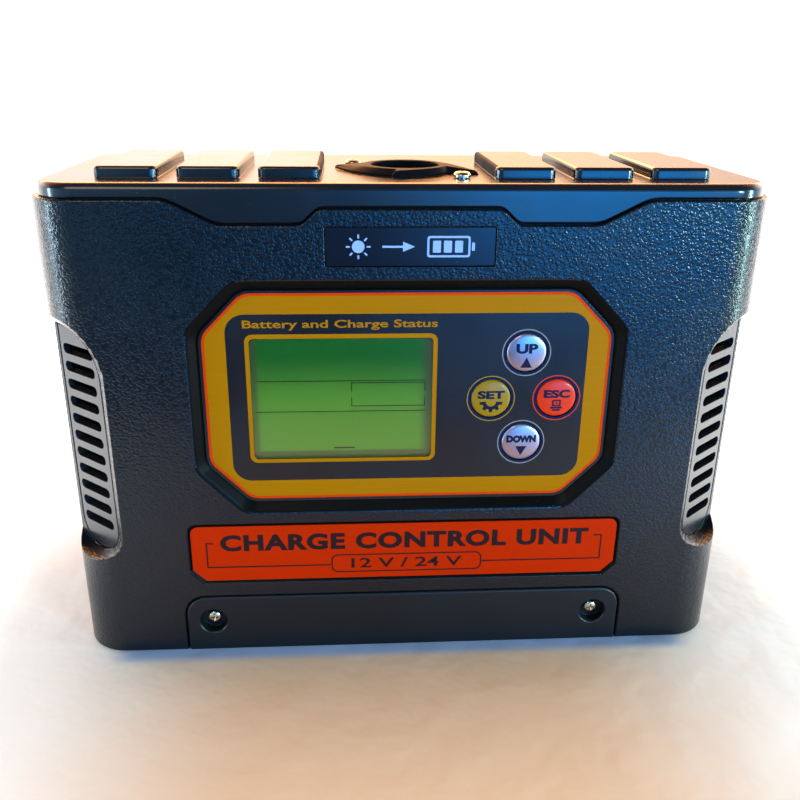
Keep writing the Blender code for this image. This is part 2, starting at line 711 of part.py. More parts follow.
# ---------------------------------------------------------------- fan
def build_fan_frame(mat):
    half = FAN_SIZE / 2
    y0 = FAN_DEPTH - half
    y1 = FAN_DEPTH + half
    frame = block_z("fan_frame", round_box(-half, half, y0, y1, 3.5, 4), FAN_LOW, FAN_HIGH, mat)
    combine(frame, block_z("bore", circle(0, FAN_DEPTH, 21.0, 28), FAN_LOW + 1.6, FAN_HIGH + 1))
    inlet = block_z("inlet", circle(0, FAN_DEPTH, 20.0, 28), FAN_LOW - 1, FAN_LOW + 3)
    combine(inlet, block_z("motor", circle(0, FAN_DEPTH, 10.5, 24), FAN_LOW - 2, FAN_LOW + 5))
    for angle in (45, 135):
        a = math.radians(angle)
        reach = (24 * math.cos(a), 24 * math.sin(a))
        side = (1.3 * math.sin(a), -1.3 * math.cos(a))
        spoke = [(k * reach[0] + j * side[0], FAN_DEPTH + k * reach[1] + j * side[1])
                 for k, j in ((-1, -1), (1, -1), (1, 1), (-1, 1))]
        combine(inlet, block_z("spoke", spoke, FAN_LOW - 2, FAN_LOW + 5))
    combine(frame, inlet)
    combine(frame, block_z("bearing", circle(0, FAN_DEPTH, 1.3, 16), FAN_LOW - 1, FAN_LOW + 5))
    for sx in (-1, 1):
        for sy in (-1, 1):
            x = sx * FAN_HOLE_PITCH / 2
            d = FAN_DEPTH + sy * FAN_HOLE_PITCH / 2
            combine(frame, block_z("corner_hole", circle(x, d, 1.85, 12), FAN_LOW - 1, FAN_HIGH + 1))
    return finish(frame)


def rotor_outline(turn):
    """Hub with curved blades, as one outline, turned about the axis."""
    points = []
    for blade in range(BLADES):
        base = 360.0 / BLADES * blade + turn
        for r, a in ((10.2, 4), (15.0, 8), (20.0, 14), (20.0, 18), (15.0, 13), (10.2, 11),
                     (10.2, 22), (10.2, 33), (10.2, 44)):
            t = math.radians(base + a)
            points.append((r * math.cos(t), FAN_DEPTH + r * math.sin(t)))
    return points


def build_rotor(mat):
    origin = world(0, FAN_DEPTH, FAN_LOW)
    low = FAN_LOW + 2.4
    sections = [(rotor_outline(-14 * i), low + 2.1 * i) for i in range(4)]
    rotor = stack_z("fan_rotor", sections, mat, origin)
    add(rotor, turned_z("shaft", 0, FAN_DEPTH, [(1.0, FAN_LOW + 0.3), (1.0, low + 2)], 16))
    add(rotor, turned_z("hub_cap", 0, FAN_DEPTH, [(9.0, low + 3), (9.0, low + 6.4), (8.4, low + 6.9)], 28))
    return finish(rotor)


# ---------------------------------------------------------------- inside
def build_main_board(mat):
    back = BOARD_DEPTH + BOARD_THICK
    half, low, high = MAIN_BOARD
    board = block_y("main_board", round_box(-half, half, low, high, 2, 2), BOARD_DEPTH, back, mat)
    for side in (-1, 1):
        for x, z in PILLARS:
            combine(board, block_y("hole", circle(side * x, z, 1.6, 8), BOARD_DEPTH - 2, back + 2))
    return finish(board)


def build_pillar(name, x, z, mat):
    front = BOARD_DEPTH + BOARD_THICK + GAP
    profile = [(1.55, front + 9), (1.55, front), (3.2, front), (3.2, SHELL_BACK)]
    return finish(turned_y(name, x, z, profile, 6, mat))


def build_terminal_block(mat):
    front, back, low, high = BLOCK
    reach = WAY_PITCH * WAYS / 2
    block = block_y("terminal_block", box_outline(-reach, reach, low, high), front, back, mat)
    wide, near, far, top = SOCKET
    for x in way_positions():
        combine(block, block_y("screw_well", circle(x, CLAMP_Z, 4.6, 12), front - 1, front + 9.4))
        combine(block, block_z("socket", box_outline(x - wide / 2, x + wide / 2, near, far), low - 1, top))
    return finish(block)


def build_clamp_screw(name, x, mat):
    front = BLOCK[0]
    profile = [(3.6, front + 3), (4.2, front + 3.5), (4.2, front + 9)]
    screw = turned_y(name, x, CLAMP_Z, profile, 12, mat)
    slot = box_outline(x - 5, x + 5, CLAMP_Z - 0.5, CLAMP_Z + 0.5)
    combine(screw, block_y("slot", slot, front, front + 4.6))
    return finish(screw, 50)


def build_heatsink(mat):
    """Flat base towards the board, upright fins towards the rear plate."""
    front, base, tip = HEATSINK
    t = FIN_THICK / 2
    half = FIN_PITCH * (FINS - 1) / 2 + t
    fins = []
    for i in reversed(range(FINS)):
        x = (i - (FINS - 1) / 2) * FIN_PITCH
        fins += [(x + t, base), (x + t, tip), (x - t, tip), (x - t, base)]
    # the outermost fins stand flush with the ends of the base
    points = [(-half, front), (half, front)] + fins[1:-1]
    return finish(block_z("heatsink", points, *HEATSINK_Z, mat))


def build_transistor(name, x, mat):
    back = BOARD_DEPTH + BOARD_THICK + GAP
    return finish(block_y(name, box_outline(x - 8, x + 8, 90, 111), back, HEATSINK[0] - GAP, mat))


def build_inductor(mat):
    """Wound ring standing flat on the main board."""
    x, depth, z = INDUCTOR
    steps = 20
    sides = 10
    rings = []
    inductor = bpy.data.meshes.new("inductor")
    body = bmesh.new()
    for i in range(steps):
        t = 2 * math.pi * i / steps
        ring = []
        for k in range(sides):
            a = 2 * math.pi * k / sides
            r = 13.0 + 5.5 * math.cos(a)
            point = world(x + r * math.cos(t), depth + 8.6 * math.sin(a), z + r * math.sin(t))
            ring.append(body.verts.new(point))
        rings.append(ring)
    for i in range(steps):
        here = rings[i]
        there = rings[(i + 1) % steps]
        for k in range(sides):
            j = (k + 1) % sides
            body.faces.new((here[k], here[j], there[j], there[k]))
    bmesh.ops.recalc_face_normals(body, faces=body.faces)
    body.to_mesh(inductor)
    body.free()
    obj = bpy.data.objects.new("inductor", inductor)
    bpy.context.scene.collection.objects.link(obj)
    inductor.materials.append(mat)
    return finish(obj)


def build_capacitor(name, x, z, mat):
    """Can on its base, with the rolled groove near its foot."""
    r = CAPACITOR_R
    foot = BOARD_DEPTH - 0.4
    profile = [(r - 0.8, 22.0), (r, 22.8), (r, foot - 4.1), (r - 0.5, foot - 3.3), (r, foot - 2.5), (r, foot)]
    return finish(turned_y(name, x, z, profile, 16, mat))


def build_fuse(mat):
    return finish(block_y("fuse", round_box(72, 92, 58, 66, 1, 2), 36.0, BOARD_DEPTH - 0.4, mat))


def build_display_board(mat):
    return finish(block_y("display_board", round_box(-70, 70, 66, 142, 2, 2), *DISPLAY_BOARD, mat))


def build_ribbon(mat):
    """Flat cable from the display board back to the main board."""
    top = [(DISPLAY_BOARD[1] + GAP, 80.0), (17.5, 80.0), (26.0, 74.0), (40.0, 66.0), (48.5, 64.0),
           (BOARD_DEPTH - 0.4, 64.0)]
    under = [(d, z - 0.9) for d, z in reversed(top)]
    outline = top + under
    rings = [[world(x, d, z) for d, z in outline] for x in (-30, -6)]
    return finish(make("ribbon_cable", rings, mat))


# ---------------------------------------------------------------- assembly
def build():
    clear_scene()
    black = material("case_black", (0.018, 0.018, 0.02), 0.45)
    satin = material("cap_black", (0.02, 0.02, 0.022), 0.28)
    vent = material("vent_black", (0.03, 0.03, 0.032), 0.35)
    gloss = material("badge_black", (0.01, 0.01, 0.012), 0.1)
    orange = material("label_orange", (0.85, 0.12, 0.02), 0.4)
    printed = material("overlay_yellow", (0.75, 0.5, 0.04), 0.35)
    clear = material("window_clear", (0.8, 0.85, 0.85), 0.05, alpha=0.35)
    green = material("lcd_green", (0.25, 0.55, 0.2), 0.2)
    silver = material("key_silver", (0.7, 0.72, 0.76), 0.35)
    yellow = material("key_yellow", (0.8, 0.6, 0.05), 0.4)
    red = material("key_orange", (0.85, 0.16, 0.04), 0.4)
    steel = material("screw_steel", (0.75, 0.75, 0.76), 0.2, 1.0)
    zinc = material("clamp_zinc", (0.6, 0.6, 0.58), 0.35, 1.0)
    alloy = material("plate_aluminium", (0.7, 0.7, 0.72), 0.4, 1.0)
    board = material("board_green", (0.03, 0.2, 0.08), 0.4)
    nylon = material("block_black", (0.03, 0.03, 0.03), 0.5)
    sleeve = material("capacitor_sleeve", (0.03, 0.04, 0.12), 0.35)
    copper = material("inductor_copper", (0.7, 0.32, 0.12), 0.35, 1.0)
    grey = material("cable_grey", (0.4, 0.4, 0.42), 0.5)
    brass = material("pillar_brass", (0.75, 0.6, 0.25), 0.3, 1.0)

    build_front_cover(black)
    build_top_cap(satin)
    build_terminal_cover(satin)
    build_bottom_plate(black)
    build_rear_plate(alloy)
    build_vent("vent_grille_left", -1, vent)
    build_vent("vent_grille_right", 1, vent)
    finish(block_y("badge_plate", badge_outline(0), 0.3, 0.3 + PLATE_THICK, gloss))
    finish(block_y("name_label", label_outline(0), 0.3, 0.3 + PLATE_THICK, orange))

    build_overlay(printed)
    build_lens(clear)
    build_lcd(green)
    key_materials = {"up": silver, "down": silver, "set": yellow, "esc": red}
    for name, (x, z) in key_positions().items():
        build_key("key_" + name, x, z, key_materials[name])
        build_switch("switch_" + name, x, z, nylon)
    build_display_board(board)

    reach = FAN_HOLE_PITCH / 2
    build_front_screw("cover_screw_left", -COVER_SCREW[0], COVER_SCREW[1], steel)
    build_front_screw("cover_screw_right", COVER_SCREW[0], COVER_SCREW[1], steel)
    build_top_screw("fan_screw_left", -reach, FAN_DEPTH + reach, steel)
    build_top_screw("fan_screw_right", reach, FAN_DEPTH - reach, steel)
    build_fan_frame(nylon)
    build_rotor(nylon)

    build_main_board(board)
    build_terminal_block(nylon)
    for i, x in enumerate(way_positions()):
        build_clamp_screw("clamp_screw_%d" % (i + 1), x, zinc)
    build_heatsink(alloy)
    build_transistor("transistor_left", -24, nylon)
    build_transistor("transistor_right", 24, nylon)
    build_inductor(copper)
    for word, x in CAPACITORS:
        build_capacitor("capacitor_" + word, x, CAPACITOR_Z, sleeve)
    build_fuse(red)
    build_ribbon(grey)
    corners = (("low", 0), ("high", 1))
    for word, side in (("left", -1), ("right", 1)):
        for level, k in corners:
            x, z = REAR_SCREWS[k]
            build_rear_screw("rear_screw_%s_%s" % (level, word), side * x, z, steel)
            x, z = PILLARS[k]
            build_pillar("pillar_%s_%s" % (level, word), side * x, z, brass)
            build_board_screw("board_screw_%s_%s" % (level, word), side * x, z, steel)


build()
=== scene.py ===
"""Looks of the charge controller: finer meshes, printed graphics, materials and a plain studio."""
import json
import math

import bmesh
import bpy
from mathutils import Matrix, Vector


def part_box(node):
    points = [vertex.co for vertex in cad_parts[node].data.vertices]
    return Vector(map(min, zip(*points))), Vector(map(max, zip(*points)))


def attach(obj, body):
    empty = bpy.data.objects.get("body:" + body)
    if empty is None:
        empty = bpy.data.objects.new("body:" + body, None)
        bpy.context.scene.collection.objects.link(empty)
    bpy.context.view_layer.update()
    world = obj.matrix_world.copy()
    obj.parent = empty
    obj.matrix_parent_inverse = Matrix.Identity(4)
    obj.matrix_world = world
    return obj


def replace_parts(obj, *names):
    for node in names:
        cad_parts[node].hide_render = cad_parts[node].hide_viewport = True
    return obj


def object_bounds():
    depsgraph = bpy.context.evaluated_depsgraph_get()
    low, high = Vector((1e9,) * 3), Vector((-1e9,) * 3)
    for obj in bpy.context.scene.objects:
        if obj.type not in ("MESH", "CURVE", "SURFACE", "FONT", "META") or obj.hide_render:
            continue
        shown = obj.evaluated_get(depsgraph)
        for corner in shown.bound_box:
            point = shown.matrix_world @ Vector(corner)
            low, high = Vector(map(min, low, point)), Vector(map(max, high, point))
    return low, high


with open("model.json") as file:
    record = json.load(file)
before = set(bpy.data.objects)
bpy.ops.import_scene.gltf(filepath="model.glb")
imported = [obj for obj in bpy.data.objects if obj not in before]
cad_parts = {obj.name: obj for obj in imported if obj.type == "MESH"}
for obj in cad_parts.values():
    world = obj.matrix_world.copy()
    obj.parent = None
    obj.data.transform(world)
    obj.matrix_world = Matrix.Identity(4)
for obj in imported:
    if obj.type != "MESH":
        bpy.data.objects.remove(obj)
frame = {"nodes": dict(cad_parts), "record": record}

CAD_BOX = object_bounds()
MM = 0.001
FRONT = CAD_BOX[0].y / MM  # the front of the object in y, mm
INK = 0.03  # thickness of a print, mm


def span(node):
    """Lowest and highest corner of a CAD node in mm."""
    low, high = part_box(node)
    return low / MM, high / MM


def middle_of(node):
    """Middle of a CAD node as (x, z) in mm."""
    low, high = span(node)
    return (low.x + high.x) / 2, (low.z + high.z) / 2


# middle of the fan, and the lowest and highest corner of the orange label, in mm
FAN_PLACE = sum(span("fan_frame"), Vector()) / 2
LABEL_SPAN = span("name_label")


# ---------------------------------------------------------------- outlines, (x, z) points in mm
CUT_LOSS = 0.5858  # how much a 45 degree corner cut shortens when the outline moves in by 1
MITRE_LIMIT = 0.3  # keeps the corner of a sharply bent stroke short


def arc(cx, cz, r, start, end, steps):
    """Points of an arc from start to end, in degrees."""
    points = []
    for i in range(steps + 1):
        a = math.radians(start + (end - start) * i / steps)
        points.append((cx + r * math.cos(a), cz + r * math.sin(a)))
    return points


def circle(cx, cz, r, steps=64):
    """Points of a full circle."""
    return arc(cx, cz, r, 0, 360 - 360 / steps, steps - 1)


def rounded(x0, x1, z0, z1, r, steps=8):
    """Rectangle with corners rounded to radius r."""
    return (arc(x0 + r, z0 + r, r, 180, 270, steps) + arc(x1 - r, z0 + r, r, 270, 360, steps)
            + arc(x1 - r, z1 - r, r, 0, 90, steps) + arc(x0 + r, z1 - r, r, 90, 180, steps))


def cut_corners(half, low, high, cut_x, cut_z, shrink=0.0):
    """Rectangle with four corners cut near 45 degrees, moved inward by shrink."""
    half -= shrink
    low += shrink
    high -= shrink
    cut_x -= CUT_LOSS * shrink
    cut_z -= CUT_LOSS * shrink
    inner = half - cut_x
    return [(-inner, low), (inner, low), (half, low + cut_z), (half, high - cut_z),
            (inner, high), (-inner, high), (-half, high - cut_z), (-half, low + cut_z)]


def soften(corners, radius, steps=6):
    """Rounds every corner of a convex outline to about radius."""
    points = []
    total = len(corners)
    for i, corner in enumerate(corners):
        here = Vector(corner)
        back = (Vector(corners[i - 1]) - here).normalized()
        ahead = (Vector(corners[(i + 1) % total]) - here).normalized()
        reach = radius / math.tan(back.angle(ahead) / 2)
        start = here + back * reach
        end = here + ahead * reach
        for k in range(steps + 1):
            t = k / steps
            p = start * (1 - t) ** 2 + here * (2 * t * (1 - t)) + end * t ** 2
            points.append((p.x, p.y))
    return points


def stroke(points, width):
    """Outline of an open line with square ends and mitred corners."""
    left = []
    right = []
    for i, point in enumerate(points):
        here = Vector(point)
        before = (here - Vector(points[i - 1])).normalized() if i else None
        after = (Vector(points[i + 1]) - here).normalized() if i + 1 < len(points) else None
        one = before or after
        two = after or before
        side = Vector((-one.y - two.y, one.x + two.x)).normalized()
        reach = width / 2 / max(MITRE_LIMIT, side.dot(Vector((-one.y, one.x))))
        left.append(tuple(here + side * reach))
        right.append(tuple(here - side * reach))
    return left + right[::-1]


# ---------------------------------------------------------------- node helper
class Nodes:
    """Adds linked shader nodes to one tree."""

    def __init__(self, tree):
        self.tree = tree

    def put(self, socket, value):
        """Links an output to the socket, or sets the socket to a constant."""
        if isinstance(value, bpy.types.NodeSocket):
            self.tree.links.new(value, socket)
        else:
            socket.default_value = value

    def new(self, kind, *values, **settings):
        """New node; values fill its inputs in order, None leaves one alone."""
        node = self.tree.nodes.new("ShaderNode" + kind)
        for key, value in settings.items():
            setattr(node, key, value)
        for socket, value in zip(node.inputs, values):
            if value is not None:
                self.put(socket, value)
        return node

    def math(self, operation, a, b=0.0):
        """Arithmetic on one or two numbers."""
        return self.new("Math", a, b, operation=operation).outputs[0]

    def vector(self, operation, a, b):
        """Arithmetic on two vectors."""
        return self.new("VectorMath", a, b, operation=operation).outputs[0]

    def place(self):
        """Object coordinates in m, which are the world's at rest."""
        return self.new("TexCoord").outputs["Object"]

    def split(self, vector):
        """The x, y and z of a vector."""
        return self.new("SeparateXYZ", vector).outputs

    def stretch(self, vector, x, y, z):
        """Vector scaled along each axis."""
        return self.vector("MULTIPLY", vector, (x, y, z))

    def noise(self, vector, scale, detail=2.0, roughness=0.5):
        """Noise outputs: [0] is the value, [1] the colour."""
        node = self.new("TexNoise")
        for key, value in (("Vector", vector), ("Scale", scale), ("Detail", detail),
                           ("Roughness", roughness)):
            self.put(node.inputs[key], value)
        return node.outputs

    def cells(self, vector, scale, feature):
        """Voronoi outputs."""
        node = self.new("TexVoronoi", feature=feature)
        self.put(node.inputs["Vector"], vector)
        self.put(node.inputs["Scale"], scale)
        return node.outputs

    def fade(self, value, low, high, to_low=0.0, to_high=1.0):
        """Smooth step: to_low where value is at low, to_high where it is at high."""
        node = self.new("MapRange", value, low, high, to_low, to_high,
                        interpolation_type="SMOOTHSTEP")
        return node.outputs[0]

    def blend(self, factor, a, b):
        """Colour a where factor is 0, b where it is 1."""
        node = self.new("Mix", data_type="RGBA")
        self.put(node.inputs["Factor"], factor)
        self.put(node.inputs["A"], a)
        self.put(node.inputs["B"], b)
        return node.outputs["Result"]

    def bump(self, height, distance, strength=1.0, normal=None):
        """Normal bent by height, on top of another normal if one is given."""
        node = self.new("Bump")
        self.put(node.inputs["Strength"], strength)
        self.put(node.inputs["Distance"], distance)
        self.put(node.inputs["Height"], height)
        if normal is not None:
            self.put(node.inputs["Normal"], normal)
        return node.outputs[0]


def surface(name, **constants):
    """New Principled material; constants are set on the shader's own sockets."""
    mat = bpy.data.materials.new(name)
    mat.use_nodes = True
    shader = mat.node_tree.nodes["Principled BSDF"]
    for key, value in constants.items():
        socket = shader.inputs[key.replace("_", " ")]
        socket.default_value = (*value, 1.0) if isinstance(value, tuple) else value
    return mat, Nodes(mat.node_tree), shader


def rgb(r, g, b):
    """Linear colour as a socket takes it."""
    return (r, g, b, 1.0)


def shades(tone, dark, light):
    """Two colours: tone times dark and tone times light."""
    return [rgb(*(c * factor for c in tone)) for factor in (dark, light)]


# ---------------------------------------------------------------- materials
# texture scales are per metre, bump distances are in metres
PEBBLE_SCALE = 980.0
PEBBLE_SOFTNESS = 0.35  # how far neighbouring pebbles run into each other
WANDER_SCALE = 520.0  # size of the wander that makes the pebbles uneven
WANDER_REACH = 0.0016  # and how far it goes, m
WIRES_AROUND = 64.0  # turns of wire round the inductor


def smudges(n, place, low, high, scale=28.0):
    """Roughness that wanders gently, as handled plastic does."""
    return n.fade(n.noise(place, scale, 4.0, 0.6)[0], 0.3, 0.7, low, high)


def dusty(n, place, base, scale, size, strength, tone):
    """Base colour with sparse dust specks over it."""
    distance = n.cells(place, scale, "F1")["Distance"]
    specks = n.fade(distance, size, size * 0.6)
    return n.blend(n.math("MULTIPLY", specks, strength), base, rgb(tone, tone, tone))


def pebbled_plastic():
    """Black plastic moulded with an irregular pebble grain."""
    mat, n, shader = surface("pebbled_plastic", Specular_IOR_Level=0.4)
    place = n.place()
    wander = n.vector("SUBTRACT", n.noise(place, WANDER_SCALE, 2.0)[1], (0.5, 0.5, 0.5))
    warped = n.vector("ADD", place, n.stretch(wander, WANDER_REACH, WANDER_REACH, WANDER_REACH))
    pebble = n.new("TexVoronoi", feature="SMOOTH_F1")
    n.put(pebble.inputs["Vector"], warped)
    pebble.inputs["Scale"].default_value = PEBBLE_SCALE
    pebble.inputs["Smoothness"].default_value = PEBBLE_SOFTNESS
    dome = n.fade(pebble.outputs["Distance"], 0.74, 0.25)
    worn = n.noise(place, 60.0, 3.0)[0]
    height = n.math("MULTIPLY", dome, n.fade(worn, 0.3, 0.6, 0.75, 1.0))
    n.put(shader.inputs["Normal"], n.bump(height, 0.0002, 0.4))
    broad = n.noise(place, 20.0, 3.0)[0]
    base = n.blend(broad, rgb(0.0015, 0.003, 0.0055), rgb(0.0025, 0.005, 0.0085))
    # painted shade: the hollows between the pebbles are darker than the pebbles' tops
    hollow_shaded = n.blend(n.math("MULTIPLY", dome, 0.3), base, rgb(0.007, 0.009, 0.012))
    n.put(shader.inputs["Base Color"], dusty(n, place, hollow_shaded, 160.0, 0.035, 0.25, 0.2))
    n.put(shader.inputs["Roughness"], smudges(n, place, 0.19, 0.26))
    return mat


def satin_plastic(name, tone, rough_low, rough_high, grain=1600.0, depth=0.000012, level=0.5):
    """Smooth moulded plastic with a fine orange-peel skin; level is its specular level."""
    mat, n, shader = surface(name, Specular_IOR_Level=level)
    place = n.place()
    skin = n.noise(place, grain, 3.0, 0.6)[0]
    n.put(shader.inputs["Normal"], n.bump(skin, depth, 1.0))
    broad = n.noise(place, 24.0, 3.0)[0]
    base = n.blend(broad, *shades(tone, 0.8, 1.25))
    n.put(shader.inputs["Base Color"], dusty(n, place, base, 190.0, 0.03, 0.3, 0.3))
    n.put(shader.inputs["Roughness"], smudges(n, place, rough_low, rough_high))
    return mat


def printed_film(name, tone, roughness=0.3, lines=1.0, level=0.1):
    """Printed film with a faint brushed lay along its length; level is its specular level."""
    mat, n, shader = surface(name, Specular_IOR_Level=level)
    place = n.place()
    brushed = n.noise(n.stretch(place, 60.0, 600.0, 4200.0), 1.0, 2.0)[0]
    specks = n.noise(place, 5200.0, 1.0)[0]
    height = n.math("ADD", brushed, n.math("MULTIPLY", specks, 0.5))
    n.put(shader.inputs["Normal"], n.bump(height, 0.000006 * lines, 1.0))
    n.put(shader.inputs["Base Color"], n.blend(brushed, *shades(tone, 0.88, 1.1)))
    n.put(shader.inputs["Roughness"], smudges(n, place, roughness - 0.05, roughness + 0.07))
    return mat


def key_film(name, tone, metallic):
    """Domed key face: fine flake under a thin glossy coat."""
    mat, n, shader = surface(name, Metallic=metallic, Coat_Weight=0.08, Coat_Roughness=0.12,
                             Specular_IOR_Level=0.25)
    place = n.place()
    flake = n.cells(place, 6500.0, "F1")["Color"]
    sparkle = n.new("SeparateColor", flake).outputs[0]
    n.put(shader.inputs["Base Color"], n.blend(sparkle, *shades(tone, 0.8, 1.15)))
    n.put(shader.inputs["Normal"], n.bump(sparkle, 0.0000015, 0.5))
    n.put(shader.inputs["Roughness"], smudges(n, place, 0.3, 0.4, 90.0))
    return mat


def plated_steel(name, tone, roughness=0.16):
    """Bright plated metal with fine turning marks and a little tarnish."""
    mat, n, shader = surface(name, Metallic=1.0)
    place = n.place()
    marks = n.noise(place, 2600.0, 3.0, 0.65)[0]
    tarnish = n.noise(place, 420.0, 3.0)[0]
    n.put(shader.inputs["Normal"], n.bump(marks, 0.00002, 0.7))
    n.put(shader.inputs["Base Color"], n.blend(tarnish, *shades(tone, 0.72, 1.0)))
    n.put(shader.inputs["Roughness"], smudges(n, place, roughness, roughness + 0.14, 500.0))
    return mat


def brushed_aluminium():
    """Plain aluminium sheet with a brushed lay."""
    mat, n, shader = surface("brushed_aluminium", Metallic=1.0)
    place = n.place()
    lay = n.noise(n.stretch(place, 30.0, 900.0, 2400.0), 1.0, 3.0)[0]
    n.put(shader.inputs["Normal"], n.bump(lay, 0.00001, 0.8))
    tone = n.blend(lay, rgb(0.15, 0.155, 0.165), rgb(0.23, 0.235, 0.245))
    n.put(shader.inputs["Base Color"], tone)
    n.put(shader.inputs["Roughness"], smudges(n, place, 0.38, 0.52, 16.0))
    return mat


def circuit_board(name, tone):
    """Solder mask over fine copper tracks."""
    mat, n, shader = surface(name, Coat_Weight=0.3, Coat_Roughness=0.2)
    place = n.place()
    gaps = n.cells(place, 260.0, "DISTANCE_TO_EDGE")["Distance"]
    track = n.fade(gaps, 0.06, 0.09)
    n.put(shader.inputs["Base Color"], n.blend(track, *shades(tone, 1.9, 1.0)))
    n.put(shader.inputs["Normal"], n.bump(track, 0.00003, 0.6))
    n.put(shader.inputs["Roughness"], smudges(n, place, 0.28, 0.42))
    return mat


def lit_display():
    """Backlit green liquid crystal; a painted reflection darkens its top, painted shade greys its
    sides and foot.
    """
    mat, n, shader = surface("lit_display", Roughness=0.35, Specular_IOR_Level=0.2)
    place = n.place()
    low, high = span("lcd_module")
    x, _, z = n.split(place)
    unevenness = n.math("SUBTRACT", n.noise(place, 60.0, 3.0)[0], 0.5)
    height = n.math("ADD", z, n.math("MULTIPLY", unevenness, 4 * MM))
    # painted reflection: the display turns a deeper green towards its top
    painted_reflection_rise = n.fade(height, (high.z - 27) * MM, (high.z - 7) * MM)
    green = n.blend(painted_reflection_rise, rgb(0.085, 0.255, 0.022), rgb(0.006, 0.115, 0.008))
    # painted shade from the frame: grey along the right and left sides and along the foot
    right = n.fade(x, (high.x - 6.5) * MM, (high.x - 2.4) * MM)
    left = n.fade(x, (low.x + 4.4) * MM, (low.x + 2.6) * MM)
    floor = n.fade(z, (low.z + 4.7) * MM, (low.z + 3.3) * MM)
    edge = n.math("MAXIMUM", n.math("MULTIPLY", right, 0.8), n.math("MULTIPLY", left, 0.6))
    edge = n.math("MAXIMUM", edge, n.math("MULTIPLY", floor, 0.8))
    shown = n.blend(edge, green, rgb(0.055, 0.06, 0.03))
    weave = n.noise(n.stretch(place, 3000.0, 1.0, 3000.0), 1.0, 1.0)[0]
    n.put(shader.inputs["Normal"], n.bump(weave, 0.000004, 0.5))
    n.put(shader.inputs["Base Color"], n.blend(0.6, shown, rgb(0.0, 0.0, 0.0)))
    n.put(shader.inputs["Emission Color"], shown)
    shader.inputs["Emission Strength"].default_value = 0.72
    return mat


def clear_lens():
    """Clear acrylic, faintly smudged."""
    mat, n, shader = surface("clear_lens", Base_Color=(0.97, 1.0, 0.98), IOR=1.49,
                             Transmission_Weight=1.0)
    place = n.place()
    n.put(shader.inputs["Roughness"], smudges(n, place, 0.01, 0.05, 60.0))
    return mat


def copper_winding():
    """Enamelled copper wire wound round the inductor's middle."""
    mat, n, shader = surface("copper_winding", Metallic=0.9)
    place = n.place()
    x, _, z = n.split(place)
    middle_x, middle_z = middle_of("inductor")
    turn = n.math("ARCTAN2", n.math("SUBTRACT", z, middle_z * MM),
                  n.math("SUBTRACT", x, middle_x * MM))
    wires = n.math("SINE", n.math("MULTIPLY", turn, WIRES_AROUND))
    n.put(shader.inputs["Normal"], n.bump(wires, 0.0004, 1.0))
    # painted shade: the copper darkens in the grooves between the turns of wire
    n.put(shader.inputs["Base Color"], n.blend(n.fade(wires, -1.0, 0.4), rgb(0.12, 0.03, 0.01),
                                               rgb(0.72, 0.27, 0.09)))
    n.put(shader.inputs["Roughness"], smudges(n, place, 0.25, 0.4, 200.0))
    return mat


def pale_floor():
    """Pale paper: a painted pool of warm light in front of the object, overexposed beside and
    behind it.

    A blue painted shadow lies along the object's foot. The paper fades out far away, so no horizon
    shows.
    """
    mat, n, shader = surface("pale_floor", Roughness=0.9, Specular_IOR_Level=0.1)
    place = n.place()
    x, y, _ = n.split(place)
    fibres = n.noise(place, 420.0, 4.0, 0.6)[0]
    creases = n.bump(n.noise(place, 34.0, 3.0, 0.55)[0], 0.004, 0.5)
    n.put(shader.inputs["Normal"], n.bump(fibres, 0.0002, 0.4, creases))
    aside = n.math("ABSOLUTE", x)
    # painted light: a pool of warm light painted into the paper's colour in front of the object
    warm = n.math("MULTIPLY", n.fade(aside, 0.17, 0.05), n.fade(y, 0.02, -0.07))
    broad = n.noise(place, 9.0, 3.0)[0]
    white = n.blend(broad, rgb(0.82, 0.84, 0.86), rgb(0.88, 0.9, 0.92))
    paper = n.blend(warm, white, rgb(0.7, 0.46, 0.31))
    # painted shadow: a blue band of shade along the object's foot
    painted_contact_shadow = n.math("MULTIPLY", n.fade(y, -0.057, -0.051), n.fade(aside, 0.118, 0.104))
    n.put(shader.inputs["Base Color"], n.blend(painted_contact_shadow, paper, rgb(0.28, 0.36, 0.56)))
    glow = n.math("MAXIMUM", n.fade(aside, 0.15, 0.26, 0.0, 2.6), n.fade(y, 0.07, 0.2, 0.0, 1.0))
    shade = n.fade(y, -0.32, -0.16)
    shader.inputs["Emission Color"].default_value = rgb(1.0, 1.0, 1.0)
    n.put(shader.inputs["Emission Strength"], n.math("MULTIPLY", glow, shade))
    far = n.new("VectorMath", place, operation="LENGTH").outputs["Value"]
    alpha = n.math("MULTIPLY", n.fade(far, 0.75, 0.5), n.fade(y, -0.34, -0.2))
    n.put(shader.inputs["Alpha"], alpha)
    return mat


# ---------------------------------------------------------------- meshes
WELD = 0.001  # points closer than this are one, mm
FLAT = math.radians(0.1)  # faces that differ by less than this are joined
CRISP = math.radians(28)  # an edge that turns by more than this is rounded
TURNED_CRISP = math.radians(40)  # an edge of a turned solid that stays sharp
RECESS_CRISP = math.radians(32)  # an edge of a cut screw head that stays sharp
SOFT_WIDTH = 0.9  # rounding of the soft edges, mm


def new_piece(name, mesh, body, slot, *materials):
    """Puts a mesh into the scene as a piece that moves with a body."""
    piece = bpy.data.objects.new(name, mesh)
    bpy.context.scene.collection.objects.link(piece)
    for mat in materials:
        mesh.materials.append(mat)
    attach(piece, body)
    return piece


def body_of(node):
    """The body a CAD node belongs to."""
    for body, members in frame["record"]["behaviour"]["bodies"].items():
        if node in members:
            return body
    return "case"


def slot_of(node):
    """The material slot of a CAD node."""
    for part in frame["record"]["subparts"]:
        if part["node"] == node:
            return part["material_slot"]
    return None


def round_edges(body, edges, width, segments):
    """Bevels edges by width (mm) with a round profile."""
    bmesh.ops.bevel(body, geom=edges, offset=width * MM, offset_type="OFFSET", segments=segments,
                    profile=0.5, affect="EDGES", clamp_overlap=False)


